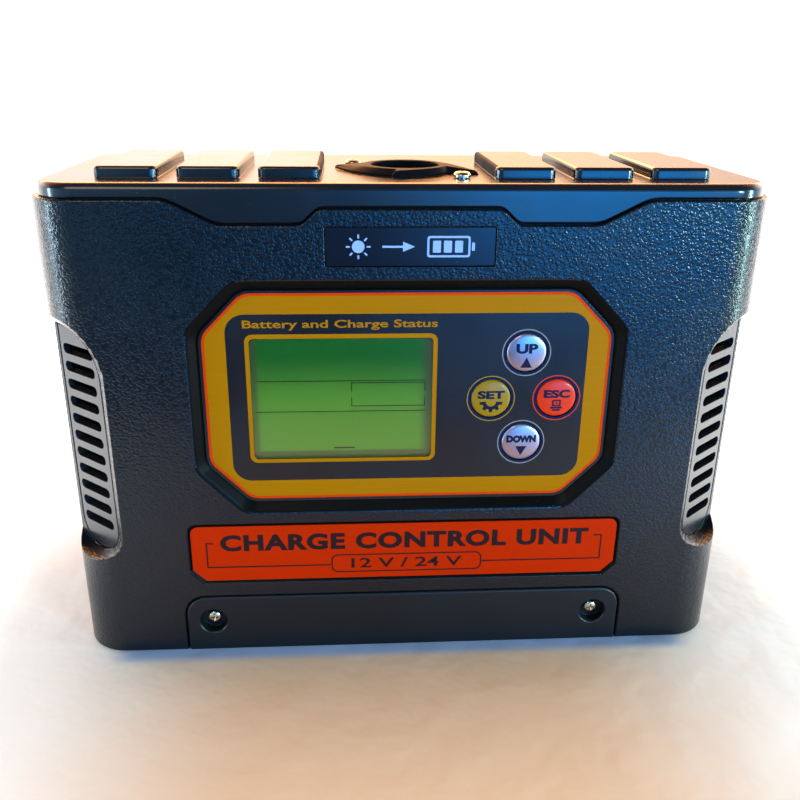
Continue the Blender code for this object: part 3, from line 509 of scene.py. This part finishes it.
def fine(node, width, materials, zone=None, soft=None):
    """Finer copy of a CAD node, in its place: edges rounded by width (mm), then shaded smooth.

    zone(face) picks a face's material; edges with soft(point) true at both ends are rounded more.
    """
    body = bmesh.new()
    body.from_mesh(frame["nodes"][node].data)
    bmesh.ops.remove_doubles(body, verts=body.verts, dist=WELD * MM)
    bmesh.ops.dissolve_limit(body, angle_limit=FLAT, verts=body.verts, edges=body.edges)
    if soft:
        gentle = [e for e in body.edges if all(soft(v.co / MM) for v in e.verts)]
        round_edges(body, gentle, SOFT_WIDTH, 4)
    crisp = [e for e in body.edges if e.is_manifold and e.calc_face_angle(0) > CRISP]
    if width:
        round_edges(body, crisp, width, 2)
    for face in body.faces:
        face.smooth = True
        face.material_index = zone(face) if zone else 0
    mesh = bpy.data.meshes.new(node + "_fine")
    body.to_mesh(mesh)
    body.free()
    if not width:
        mesh.set_sharp_from_angle(angle=CRISP)
    piece = new_piece(node + "_fine", mesh, body_of(node), slot_of(node), *materials)
    even = piece.modifiers.new("even", "WEIGHTED_NORMAL")
    even.keep_sharp = True
    even.weight = 80
    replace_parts(piece, node)
    return piece


def join_rings(body, rings):
    """Adds the skin over closed rings of points, with a cap at each end."""
    rings = [[body.verts.new(point) for point in ring] for ring in rings]
    for one, two in zip(rings, rings[1:]):
        for i in range(len(one)):
            j = (i + 1) % len(one)
            body.faces.new((one[i], one[j], two[j], two[i]))
    body.faces.new(rings[0])
    body.faces.new(rings[-1])


def as_mesh(body, name):
    """Closes a bmesh off as a mesh with its faces turned outward."""
    bmesh.ops.recalc_face_normals(body, faces=body.faces)
    mesh = bpy.data.meshes.new(name)
    body.to_mesh(mesh)
    body.free()
    return mesh


def lathe(name, profile, steps, place):
    """Round solid from (radius, depth) points, on a front-to-back axis through place."""
    body = bmesh.new()
    rings = [[((place[0] + x) * MM, (FRONT + depth) * MM, (place[1] + z) * MM)
              for x, z in circle(0, 0, r, steps)] for r, depth in profile]
    join_rings(body, rings)
    mesh = as_mesh(body, name)
    mesh.shade_smooth()
    mesh.set_sharp_from_angle(angle=TURNED_CRISP)
    return mesh


def flat_mesh(name, curve, depth):
    """Turns a flat curve into a mesh as thick as a print, standing upright at depth (mm)."""
    curve.dimensions = "2D"
    curve.fill_mode = "BOTH"
    curve.extrude = INK * MM / 2
    holder = bpy.data.objects.new(name, curve)
    bpy.context.scene.collection.objects.link(holder)
    graph = bpy.context.evaluated_depsgraph_get()
    mesh = bpy.data.meshes.new_from_object(holder.evaluated_get(graph))
    bpy.data.objects.remove(holder)
    bpy.data.curves.remove(curve)
    mesh.name = name
    y = (FRONT + depth) * MM
    for v in mesh.vertices:
        v.co = (v.co.x, y - v.co.z, v.co.y)
    return mesh


def ink(name, loops, depth, mat, slot, body="case", bend=None):
    """Printed shape from closed (x, z) loops in mm; a loop inside another is a hole."""
    curve = bpy.data.curves.new(name, "CURVE")
    for loop in loops:
        spline = curve.splines.new("POLY")
        spline.points.add(len(loop) - 1)
        for point, (x, z) in zip(spline.points, loop):
            point.co = (x * MM, z * MM, 0, 1)
        spline.use_cyclic_u = True
    mesh = flat_mesh(name, curve, depth - INK / 2)
    if bend:
        bend(mesh)
    new_piece(name, mesh, body, slot, mat)


def lettering(name, words, box, depth, mat, slot, body="case", bend=None, bold=0.0, spacing=1.0):
    """Printed words fitted to the box (x0, x1, z0, z1) in mm."""
    curve = bpy.data.curves.new(name, "FONT")
    curve.body = words
    curve.size = 1.0
    curve.offset = bold
    curve.space_character = spacing
    curve.resolution_u = 4
    mesh = flat_mesh(name, curve, 0.0)
    xs = [v.co.x for v in mesh.vertices]
    zs = [v.co.z for v in mesh.vertices]
    x0, x1, z0, z1 = box
    wide = (x1 - x0) / (max(xs) - min(xs))
    tall = (z1 - z0) / (max(zs) - min(zs))
    for v in mesh.vertices:
        v.co = ((x0 + (v.co.x - min(xs)) * wide) * MM, v.co.y + (depth - INK / 2) * MM,
                (z0 + (v.co.z - min(zs)) * tall) * MM)
    if bend:
        bend(mesh)
    new_piece(name, mesh, body, slot, mat)


# ---------------------------------------------------------------- pieces of the shell
# panel recess on the front: half its width, its lowest and highest point, in mm
RIM_HALF, RIM_LOW, RIM_HIGH = 76.8, 60.6, 148.2
RECESS_DEPTH = 6.0  # deeper than either recess of the front, mm
CAP_TOP = 180.2  # height of the lid's flat top, mm
GUARD_REACH = 32.0  # the fan's guard stays this close to the fan's middle, mm
# depth of the prints on the panel and on the two plates behind the front, in mm
OVERLAY_FACE = 1.95
PLATE_FACE = 0.3
# outline of a key as (radius, depth) in mm; the first DOME_POINTS are its domed face
DOME_POINTS = 9
KEY_PROFILE = [(0.6, 1.2), (1.8, 1.22), (3.2, 1.28), (4.4, 1.38), (5.4, 1.5), (6.1, 1.62),
               (6.6, 1.76), (6.95, 1.98), (7.14, 2.3), (7.2, 2.7), (7.2, 5.5), (8.3, 5.5),
               (8.3, 6.3), (2.0, 6.3), (2.0, 8.95)]
# material slot, colour, metallic and colour of the thin ring of each key
KEYS = {
    "key_up": ("key_silver", (0.42, 0.33, 0.4), 0.9, (0.27, 0.22, 0.17)),
    "key_down": ("key_silver", (0.42, 0.33, 0.4), 0.9, (0.27, 0.22, 0.17)),
    "key_set": ("key_yellow", (0.32, 0.16, 0.002), 0.0, (0.36, 0.17, 0.002)),
    "key_esc": ("key_orange", (0.72, 0.026, 0.0005), 0.0, (0.7, 0.04, 0.001)),
}
KEY_STEPS = 96  # sides of a turned key and of the rings round it
# outer and inner radius of the thin coloured ring, and of the dark one inside it, in mm
RING_RADII = (8.75, 8.4)
WELL_RADII = (8.3, 7.45)
BEND_STEP = 0.7  # grid that a print is cut to before it bends, mm


def shell_zone(face):
    """1 for the walls of the panel and label recesses, 0 for everything else."""
    middle = face.calc_center_median() / MM
    low, high = LABEL_SPAN
    panel = abs(middle.x) < RIM_HALF and RIM_LOW < middle.z < RIM_HIGH
    label = low.x - 1 < middle.x < high.x + 1 and low.z - 1 < middle.z < high.z + 1
    sunk = FRONT + 0.02 < middle.y < FRONT + RECESS_DEPTH
    return 1 if sunk and (panel or label) else 0


def on_rim(point):
    """True on the outer edge of the panel recess, where the slope meets the front."""
    inside = abs(point.x) < RIM_HALF + 1 and RIM_LOW - 1 < point.z < RIM_HIGH + 1
    return inside and point.y < FRONT + 0.01


def guard_zone(face):
    """1 for the guard round the fan outlet, 0 for the rest of the top cap."""
    middle = face.calc_center_median() / MM
    reach = math.hypot(middle.x - FAN_PLACE.x, middle.y - FAN_PLACE.y)
    return 1 if reach < GUARD_REACH and middle.z > CAP_TOP + 0.05 else 0


def build_shell():
    """Case mouldings and plates; returns the plastic of the terminal cover."""
    grain = pebbled_plastic()
    slope = satin_plastic("recess_plastic", (0.004, 0.0034, 0.003), 0.3, 0.4, level=0.06)
    fine("front_cover", 0.25, (grain, slope), shell_zone, soft=on_rim)
    cap = satin_plastic("cap_plastic", (0.006, 0.007, 0.01), 0.15, 0.22)
    guard = satin_plastic("guard_plastic", (0.005, 0.0055, 0.007), 0.32, 0.42, level=0.01)
    fine("top_cap", 0.25, (cap, guard), guard_zone)
    cover = satin_plastic("cover_plastic", (0.002, 0.004, 0.0065), 0.34, 0.44,
                          grain=3400.0, depth=0.00005, level=0.38)
    fine("terminal_cover", 0.2, (cover,))
    vent = satin_plastic("vent_plastic", (0.014, 0.0145, 0.017), 0.2, 0.28)
    fine("vent_grille_left", 0.15, (vent,))
    fine("vent_grille_right", 0.15, (vent,))
    fine("rear_plate", 0.3, (brushed_aluminium(),))
    fine("bottom_plate", 0.3, (grain,))
    return cover


def build_plates():
    """Badge, label, panel sheet, window and display."""
    badge = satin_plastic("badge_gloss", (0.005, 0.006, 0.012), 0.06, 0.1,
                          grain=900.0, depth=0.000004, level=0.28)
    fine("badge_plate", 0.12, (badge,))
    label = printed_film("label_film", (0.52, 0.019, 0.0003), 0.3, level=0.04)
    fine("name_label", 0.12, (label,))
    film = printed_film("panel_film", (0.009, 0.0075, 0.0095), 0.24, lines=1.2, level=0.36)
    fine("display_overlay", 0.1, (film,))
    fine("display_window", 0.0, (clear_lens(),))
    display = lit_display()
    housing = satin_plastic("lcd_frame", (0.02, 0.02, 0.02), 0.4, 0.5)
    fine("lcd_module", 0.2, (display, housing), lambda face: 0 if face.normal.y < -0.5 else 1)


def slice_fine(mesh, step):
    """Cuts a flat print along a grid of step mm, so that it can bend."""
    body = bmesh.new()
    body.from_mesh(mesh)
    xs = [v.co.x / MM for v in body.verts]
    zs = [v.co.z / MM for v in body.verts]
    for axis, values in ((Vector((1, 0, 0)), xs), (Vector((0, 0, 1)), zs)):
        count = int((max(values) - min(values)) / step) + 1
        for i in range(1, count):
            cut_at = min(values) + (max(values) - min(values)) * i / count
            everything = body.verts[:] + body.edges[:] + body.faces[:]
            bmesh.ops.bisect_plane(body, geom=everything, plane_co=axis * cut_at * MM,
                                   plane_no=axis)
    body.to_mesh(mesh)
    body.free()


def on_dome(place):
    """Bends a flat print onto the domed face of a key."""
    dome = KEY_PROFILE[:DOME_POINTS]

    def bend(mesh):
        slice_fine(mesh, BEND_STEP)
        for v in mesh.vertices:
            r = math.hypot(v.co.x / MM - place[0], v.co.z / MM - place[1])
            drop = 0.0
            for (r0, d0), (r1, d1) in zip(dome, dome[1:]):
                if r0 <= r <= r1:
                    drop = d0 + (d1 - d0) * (r - r0) / (r1 - r0) - dome[0][1]
            v.co.y += drop * MM
    return bend


def build_keys(navy):
    """Domed keys, each inside a dark blue ring and a thin coloured one."""
    well = printed_film("well_ink", (0.003, 0.01, 0.05), 0.3)
    for node, (slot, tone, metallic, rim) in KEYS.items():
        place = middle_of(node)
        film = key_film(node + "_face", tone, metallic)
        shape = lathe(node + "_fine", KEY_PROFILE, KEY_STEPS, place)
        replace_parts(new_piece(node + "_fine", shape, body_of(node), slot, film), node)
        print_ring(node + "_ring", place, *RING_RADII, printed_film(node + "_ring", rim, 0.35))
        print_ring(node + "_well", place, *WELL_RADII, well)
        key_print(node, place, navy)


def print_ring(name, place, outer, inner, mat):
    """Ring printed on the panel round a key."""
    loops = [circle(*place, outer, KEY_STEPS), circle(*place, inner, KEY_STEPS)]
    ink(name, loops, OVERLAY_FACE, mat, "overlay_yellow")


def key_print(node, place, navy):
    """Word and pictogram on a key."""
    x, z = place
    bend = on_dome(place)
    face = KEY_PROFILE[0][1]

    def word(text, half, low, high, bold=0.05):
        box = (x - half, x + half, z + low, z + high)
        lettering(node + "_word", text, box, face, navy, slot_of(node), body_of(node), bend, bold)

    def shape(name, *loops):
        moved = [[(x + a, z + b) for a, b in loop] for loop in loops]
        ink(node + name, moved, face, navy, slot_of(node), body_of(node), bend)

    if node == "key_up":
        word("UP", 3.9, -0.1, 3.5)
        shape("_arrow", [(-2.1, -5.5), (2.1, -5.5), (0, -1.5)])
    elif node == "key_down":
        word("DOWN", 5.5, 0.0, 2.9, 0.08)
        shape("_arrow", [(-2.1, -1.4), (0, -5.2), (2.1, -1.4)])
    elif node == "key_set":
        word("SET", 4.9, 0.1, 3.2)
        shape("_gear", gear(0, -0.9, 4.2, 3.2, 1.9))
    else:
        word("ESC", 4.8, 0.2, 3.3)
        shape("_box", rounded(-1.6, 1.6, -3.0, -0.5, 0.3, 3),
              rounded(-1.0, 1.0, -2.5, -1.0, 0.2, 3))
        shape("_bar", rounded(-0.3, 0.3, -2.1, -1.4, 0.1, 3))
        shape("_foot", rounded(-2.2, 2.2, -4.0, -3.2, 0.2, 3))
        shape("_sole", rounded(-1.5, 1.5, -4.9, -4.2, 0.2, 3))


def gear(x, z, high, low, bore, teeth=5):
    """Lower half of a toothed wheel."""
    points = []
    for i in range(teeth * 2 - 1):
        r = high if i % 2 == 0 else low
        # each tooth or gap keeps clear of its neighbours by a small share of its width
        for k in (0.12, 0.88):
            a = math.pi * (1 + (i + k) / (teeth * 2 - 1))
            points.append((x + r * math.cos(a), z + r * math.sin(a)))
    return points + arc(x, z, bore, 360, 180, 12)


# ---------------------------------------------------------------- printed graphics
# band round the panel: half its width, its low and high edge, and its corner cuts in x and z, mm
BAND_OUTLINE = (71.8, 65.6, 143.7, 14.4, 14.9)
STRIPE_WIDTH = 1.0  # orange stripe round the band, mm
DISPLAY_LINE = 0.32  # width of the lines on the display, mm
LABEL_LINE = 0.55  # width of the lines on the label and of the sun's rays, mm


def build_overlay_print(yellow, orange):
    """Orange stripe, yellow band, display frame and heading on the panel sheet."""
    face = OVERLAY_FACE
    slot = "overlay_yellow"
    stripe = soften(cut_corners(*BAND_OUTLINE), 7.6)
    band = soften(cut_corners(*BAND_OUTLINE, STRIPE_WIDTH), 7.2)
    panel = rounded(-63.6, 63.6, 73.0, 136.3, 6.8)
    frame_outer = rounded(-57.1, 10.1, 80.2, 129.1, 2.8)
    frame_inner = rounded(-55.6, 8.6, 81.6, 127.5, 1.6)
    ink("panel_stripe", [stripe, band], face, orange, slot)
    ink("panel_band", [band, panel], face, yellow, slot)
    ink("display_frame", [frame_outer, frame_inner], face, yellow, slot)
    lettering("display_heading", "Battery and Charge Status", (-57.5, 10.0, 130.5, 134.2), face,
              yellow, slot, bold=0.02)


def build_display_print(dark):
    """Two rules, a box left open at its sides and a short mark on the display."""
    face = span("lcd_module")[0].y - FRONT
    slot = "lcd_green"
    for name, x0, z in (("display_rule_high", -54.0, 111.1), ("display_rule_low", -54.6, 99.4)):
        ink(name, [stroke([(x0, z), (6.3, z)], DISPLAY_LINE)], face, dark, slot)
    for name, z0, z1 in (("display_box_high", 106.9, 110.3), ("display_box_low", 104.8, 101.4)):
        half_box = [(-20.2, z0), (-20.2, z1), (6.1, z1), (6.1, z0)]
        ink(name, [stroke(half_box, DISPLAY_LINE)], face, dark, slot)
    mark = [(-26.9, 84.7), (-19.2, 84.7), (-19.2, 85.3), (-26.9, 85.3)]
    ink("display_mark", [mark], face, dark, slot)


def build_label_print(brown):
    """Generic words, two brackets and a small box on the orange label."""
    face = PLATE_FACE
    slot = "label_orange"
    lettering("label_words", "CHARGE CONTROL UNIT", (-70.2, 70.2, 44.1, 51.2), face, brown, slot,
              bold=0.045, spacing=1.1)
    left = [(-72.7, 47.6), (-75.3, 47.8), (-75.3, 37.3), (-28.8, 37.3)]
    right = [(29.2, 37.6), (75.3, 37.6), (75.3, 47.9), (72.2, 47.9)]
    ink("label_bracket_left", [stroke(left, LABEL_LINE)], face, brown, slot)
    ink("label_bracket_right", [stroke(right, LABEL_LINE)], face, brown, slot)
    box_outer = rounded(-28.6, 29.1, 33.85, 41.8, 2.6)
    box_inner = rounded(-28.1, 28.6, 34.35, 41.3, 2.2)
    ink("label_box", [box_outer, box_inner], face, brown, slot)
    lettering("label_small_words", "12 V / 24 V", (-21.0, 21.5, 35.7, 40.0), face, brown, slot,
              bold=0.015)


def build_badge_print(pale):
    """Sun, arrow and battery: a generic charging pictogram."""
    face = PLATE_FACE
    slot = "badge_black"
    z = 159.8
    sun = -17.5
    ink("badge_sun", [circle(sun, z, 2.1)], face, pale, slot)
    for i in range(8):
        a = math.radians(45 * i)
        ray = [(sun + r * math.cos(a), z + r * math.sin(a)) for r in (2.8, 4.1)]
        ink("badge_ray_%d" % i, [stroke(ray, LABEL_LINE)], face, pale, slot)
    arrow = [(-9.5, z - 0.35), (-9.5, z + 0.35), (-2.6, z + 0.35), (-2.6, z + 1.7), (1.4, z),
             (-2.6, z - 1.7), (-2.6, z - 0.35)]
    ink("badge_arrow", [arrow], face, pale, slot)
    cell_outer = rounded(5.5, 20.0, z - 3.6, z + 3.6, 0.9)
    cell_inner = rounded(6.2, 19.3, z - 2.9, z + 2.9, 0.5)
    ink("badge_cell", [cell_outer, cell_inner], face, pale, slot)
    ink("badge_cap", [rounded(20.5, 21.5, z - 1.4, z + 1.4, 0.3)], face, pale, slot)
    for i in range(3):
        x = 7.4 + 3.7 * i
        ink("badge_bar_%d" % i, [rounded(x, x + 2.7, z - 2.0, z + 2.0, 0.3)], face, pale, slot)


# ---------------------------------------------------------------- screws
def cross_cutter(x, z, face, deep, way):
    """Tapered cross that cuts a cross recess; way is 1 for a head at the front, -1 at the back."""
    body = bmesh.new()
    for turn in (0.0, math.pi / 2):
        rings = []
        # half length and half width of each arm, and how far into the head it lies, in mm
        for length, half, inward in ((1.75, 0.5, -0.6), (1.55, 0.42, 0.15), (0.3, 0.2, deep)):
            ring = []
            for a, b in ((-length, -half), (length, -half), (length, half), (-length, half)):
                px = a * math.cos(turn) - b * math.sin(turn)
                pz = a * math.sin(turn) + b * math.cos(turn)
                ring.append(((x + px) * MM, (FRONT + face + inward * way) * MM, (z + pz) * MM))
            rings.append(ring)
        join_rings(body, rings)
    return as_mesh(body, "cross")


def cut(mesh, cutter, name):
    """Mesh with the cutter taken out of it."""
    holder = bpy.data.objects.new(name, mesh)
    tool = bpy.data.objects.new("tool", cutter)
    for obj in (holder, tool):
        bpy.context.scene.collection.objects.link(obj)
    change = holder.modifiers.new("cut", "BOOLEAN")
    change.object = tool
    change.operation = "DIFFERENCE"
    change.solver = "EXACT"
    change.use_self = True
    graph = bpy.context.evaluated_depsgraph_get()
    result = bpy.data.meshes.new_from_object(holder.evaluated_get(graph))
    bpy.data.objects.remove(holder)
    bpy.data.objects.remove(tool)
    result.name = name
    result.set_sharp_from_angle(angle=RECESS_CRISP)
    return result


def round_screw(node, profile, deep, way, steel):
    """Round-headed screw with a cross recess deep mm into its head, in place of a CAD node."""
    place = middle_of(node)
    solid = lathe(node + "_round", profile, 64, place)
    face = profile[0][1]
    shape = cut(solid, cross_cutter(*place, face, deep, way), node + "_fine")
    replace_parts(new_piece(node + "_fine", shape, "case", "screw_steel", steel), node)


# outlines of the cover screws and the rear screws as (radius, depth) in mm
COVER_SCREW = [(0.4, 2.35), (1.1, 2.4), (1.8, 2.55), (2.25, 2.78), (2.55, 3.08), (2.7, 3.45),
               (2.7, 4.1), (1.4, 4.1), (1.4, 11.4)]
REAR_SCREW = [(0.4, 95.9), (1.2, 95.88), (2.0, 95.8), (2.6, 95.65), (2.9, 95.4), (3.0, 95.15),
              (3.0, 94.9), (1.3, 94.9), (1.3, 76.0)]


def build_screws():
    """Screws that show from outside; returns their steel."""
    steel = plated_steel("screw_plating", (0.78, 0.7, 0.55))
    for side in ("left", "right"):
        round_screw("cover_screw_" + side, COVER_SCREW, 1.5, 1, steel)
        for level in ("low", "high"):
            round_screw("rear_screw_%s_%s" % (level, side), REAR_SCREW, 0.9, -1, steel)
        fine("fan_screw_" + side, 0.1, (steel,))
    return steel


# ---------------------------------------------------------------- everything else, on the CAD nodes
def build_other(steel, cover):
    """Fan, and plain materials for the CAD nodes that need no finer mesh."""
    fan = satin_plastic("fan_plastic", (0.011, 0.0115, 0.013), 0.24, 0.34)
    block = satin_plastic("block_plastic", (0.016, 0.016, 0.017), 0.4, 0.5)
    looks = {
        "screw_steel": steel,
        "clamp_zinc": plated_steel("zinc_plating", (0.68, 0.69, 0.72), 0.22),
        "plate_aluminium": bpy.data.materials["brushed_aluminium"],
        "board_green": circuit_board("board_mask", (0.012, 0.09, 0.03)),
        "block_black": block,
        "capacitor_sleeve": satin_plastic("capacitor_film", (0.02, 0.028, 0.06), 0.2, 0.3),
        "inductor_copper": copper_winding(),
        "cable_grey": satin_plastic("cable_jacket", (0.3, 0.3, 0.31), 0.45, 0.55),
        "pillar_brass": plated_steel("brass", (0.76, 0.55, 0.24), 0.25),
        "fuse_orange": satin_plastic("fuse_case", (0.6, 0.2, 0.03), 0.25, 0.35),
        "case_black": cover,
        "cap_black": fan,
    }
    for name, node in frame["nodes"].items():
        slot = slot_of(name)
        if name in ("fan_frame", "fan_rotor"):
            fine(name, 0.12, (fan,))
        elif slot in looks and not bpy.data.objects.get(name + "_fine"):
            dress(node, looks[slot])


def dress(node, mat):
    """Gives a CAD node one material."""
    node.data.materials.clear()
    node.data.materials.append(mat)


# ---------------------------------------------------------------- studio
FLOOR_REACH = 3.0  # from the middle of the floor to its edge, m


def build_floor():
    """Flat sheet under the object."""
    body = bmesh.new()
    bmesh.ops.create_grid(body, x_segments=2, y_segments=2, size=FLOOR_REACH)
    mesh = bpy.data.meshes.new("floor")
    body.to_mesh(mesh)
    body.free()
    floor = bpy.data.objects.new("floor", mesh)
    bpy.context.scene.collection.objects.link(floor)
    mesh.materials.append(pale_floor())


def soft_light(name, place, target, size, power, tone):
    """Area lamp of a size (m) and power (W), hidden from the camera."""
    data = bpy.data.lights.new(name, "AREA")
    data.shape = "RECTANGLE"
    data.size, data.size_y = size
    data.energy = power
    data.color = tone
    lamp = bpy.data.objects.new(name, data)
    bpy.context.scene.collection.objects.link(lamp)
    lamp.location = place
    aim = Vector(target) - Vector(place)
    lamp.rotation_euler = aim.to_track_quat("-Z", "Y").to_euler()
    lamp.visible_camera = False
    return lamp


def tone_ramp(n, value, stops):
    """Colour ramp over value from (place, colour) stops; the first two are its ends."""
    node = n.new("ValToRGB", value)
    for i, (place, tone) in enumerate(stops):
        stop = node.color_ramp.elements[i] if i < 2 else node.color_ramp.elements.new(place)
        stop.position = place
        stop.color = (*tone, 1.0)
    return node.outputs[0]


# colours from left (0) to right (1) behind the object and in front of it
REAR_TONES = (
    (0.0, (1.0, 1.0, 1.0)), (1.0, (1.0, 1.0, 1.0)), (0.3, (0.75, 0.68, 0.64)),
    (0.44, (0.88, 0.74, 0.64)), (0.55, (0.95, 0.62, 0.4)), (0.64, (0.8, 0.55, 0.4)),
    (0.74, (0.5, 0.4, 0.34)), (0.82, (1.0, 1.0, 1.0)))
FRONT_TONES = (
    (0.0, (0.25, 0.5, 0.8)), (1.0, (0.1, 0.4, 1.0)), (0.2, (0.12, 0.3, 0.5)),
    (0.36, (0.14, 0.3, 0.5)), (0.42, (0.02, 0.06, 0.11)), (0.48, (0.04, 0.14, 0.3)),
    (0.55, (0.04, 0.25, 0.7)), (0.625, (0.01, 0.32, 1.0)), (0.69, (0.01, 0.22, 0.65)),
    (0.8, (0.01, 0.13, 0.4)))
BACKDROP = 0.5  # grey the camera sees, which ROOM_POWER lifts to white
ROOM_POWER = 2.4


def build_surroundings():
    """Studio white to the camera; it lights the object warm from behind and blue from in front."""
    world = bpy.data.worlds.new("studio")
    bpy.context.scene.world = world
    world.use_nodes = True
    n = Nodes(world.node_tree)
    background = world.node_tree.nodes["Background"]
    way = n.new("TexCoord").outputs["Generated"]
    x, y, z = n.split(way)
    across = n.new("MapRange", x, -1.0, 1.0, 0.0, 1.0).outputs[0]
    rear = tone_ramp(n, across, REAR_TONES)
    front = tone_ramp(n, across, FRONT_TONES)
    rear = n.blend(n.fade(z, 0.35, 0.65), rear, rgb(0.045, 0.035, 0.03))
    path = n.new("LightPath").outputs
    # warm glow above the object's back, in reflections only
    glow = n.math("MULTIPLY", n.fade(z, 0.22, 0.34), n.fade(z, 0.88, 0.62))
    from_middle = n.math("ABSOLUTE", n.math("ADD", x, 0.05))
    glow = n.math("MULTIPLY", glow, n.fade(from_middle, 0.6, 0.1, 0.12, 1.0))
    glow = n.math("MULTIPLY", glow, path["Is Glossy Ray"])
    rear = n.vector("ADD", rear, n.vector("MULTIPLY", glow, (4.0, 1.4, 0.3)))
    # in front, dark high up and below the floor line
    front = n.blend(n.fade(z, 0.2, 0.48), front, rgb(0.03, 0.035, 0.045))
    front = n.blend(n.fade(z, -0.1, -0.32), front, rgb(0.012, 0.02, 0.035))
    room = n.blend(n.fade(y, -0.12, 0.12), front, rear)
    # a bright patch of day low in front on the right, and bright sides behind the object
    day = n.math("MULTIPLY", n.fade(x, 0.0, 0.22), n.fade(x, 0.75, 0.5))
    level = n.math("MULTIPLY", n.fade(z, 0.14, 0.02), n.fade(y, 0.1, -0.15, 0.0, 11.0))
    day = n.math("MULTIPLY", day, level)
    aside = n.math("ABSOLUTE", x)
    edge = n.math("MULTIPLY", n.fade(aside, 0.5, 0.66), n.fade(y, 0.22, 0.36, 0.0, 1.6))
    seen = path["Is Camera Ray"]
    boost = n.math("MULTIPLY", n.math("ADD", day, edge), n.math("SUBTRACT", 1.0, seen))
    shown = n.blend(seen, room, rgb(BACKDROP, BACKDROP, BACKDROP))
    n.put(background.inputs["Color"], shown)
    n.put(background.inputs["Strength"], n.math("ADD", boost, ROOM_POWER))


# lamps: name, place, what it points at, size (all in m), power (W) and colour
LAMPS = (
    ("top", (0.0, 0.2, 1.3), (0.0, 0.0, 0.0), (1.5, 0.5), 12.0, (1.0, 0.87, 0.78)),
    ("front_right", (0.9, -1.1, 0.27), (0.0, 0.0, 0.1), (0.22, 0.22), 12.0, (0.5, 0.92, 1.0)),
    ("front_left", (-0.5, -1.0, 1.0), (0.0, 0.0, 0.1), (0.6, 0.6), 5.0, (1.0, 0.86, 0.7)),
    ("side_right", (0.95, -0.35, 0.08), (0.1, 0.0, 0.12), (0.1, 0.6), 9.0, (0.6, 1.0, 0.95)),
    ("side_left", (-1.0, -0.2, 0.15), (-0.1, 0.0, 0.14), (0.1, 0.5), 6.0, (0.6, 0.85, 1.0)),
    ("rear_warm", (0.0, 1.0, 0.58), (0.0, 0.0, 0.15), (1.8, 0.16), 8.0, (1.0, 0.42, 0.1)),
)
# camera solved from the photograph: place in m, turn in degrees, lens and sensor in mm
CAMERA_PLACE = (-0.0211, -0.3301, 0.2180)
CAMERA_TURN = (68.809, -0.597, -3.419)
LENS = 38.51
SENSOR = 36
SHIFT_UP = -0.01125


def build_lights():
    """Lamps; the one above lights without showing in reflections."""
    for name, *settings in LAMPS:
        lamp = soft_light(name, *settings)
        lamp.visible_glossy = name != "top"


def build_camera():
    """Camera at the photograph's viewing angle."""
    data = bpy.data.cameras.new("camera")
    data.lens = LENS
    data.sensor_width = SENSOR
    data.shift_y = SHIFT_UP
    data.clip_start = 0.01
    camera = bpy.data.objects.new("camera", data)
    bpy.context.scene.collection.objects.link(camera)
    camera.location = CAMERA_PLACE
    camera.rotation_euler = [math.radians(a) for a in CAMERA_TURN]
    bpy.context.scene.camera = camera


def build():
    """Everything, in order."""
    cover = build_shell()
    build_plates()
    navy = printed_film("navy_ink", (0.008, 0.01, 0.03), 0.4)
    brown = printed_film("brown_ink", (0.022, 0.007, 0.007), 0.4)
    yellow = printed_film("yellow_ink", (0.4, 0.136, 0.0004), 0.34, lines=1.6, level=0.05)
    orange = printed_film("orange_ink", (0.64, 0.04, 0.0006), 0.34, level=0.05)
    pale = printed_film("pale_blue_ink", (0.3, 0.38, 0.68), 0.4)
    build_keys(navy)
    build_overlay_print(yellow, orange)
    build_display_print(printed_film("display_ink", (0.01, 0.03, 0.008), 0.5))
    build_label_print(brown)
    build_badge_print(pale)
    build_other(build_screws(), cover)
    build_floor()
    build_surroundings()
    build_lights()
    build_camera()
    bpy.context.scene.view_settings.view_transform = "Standard"
    bpy.context.view_layer.update()


build()
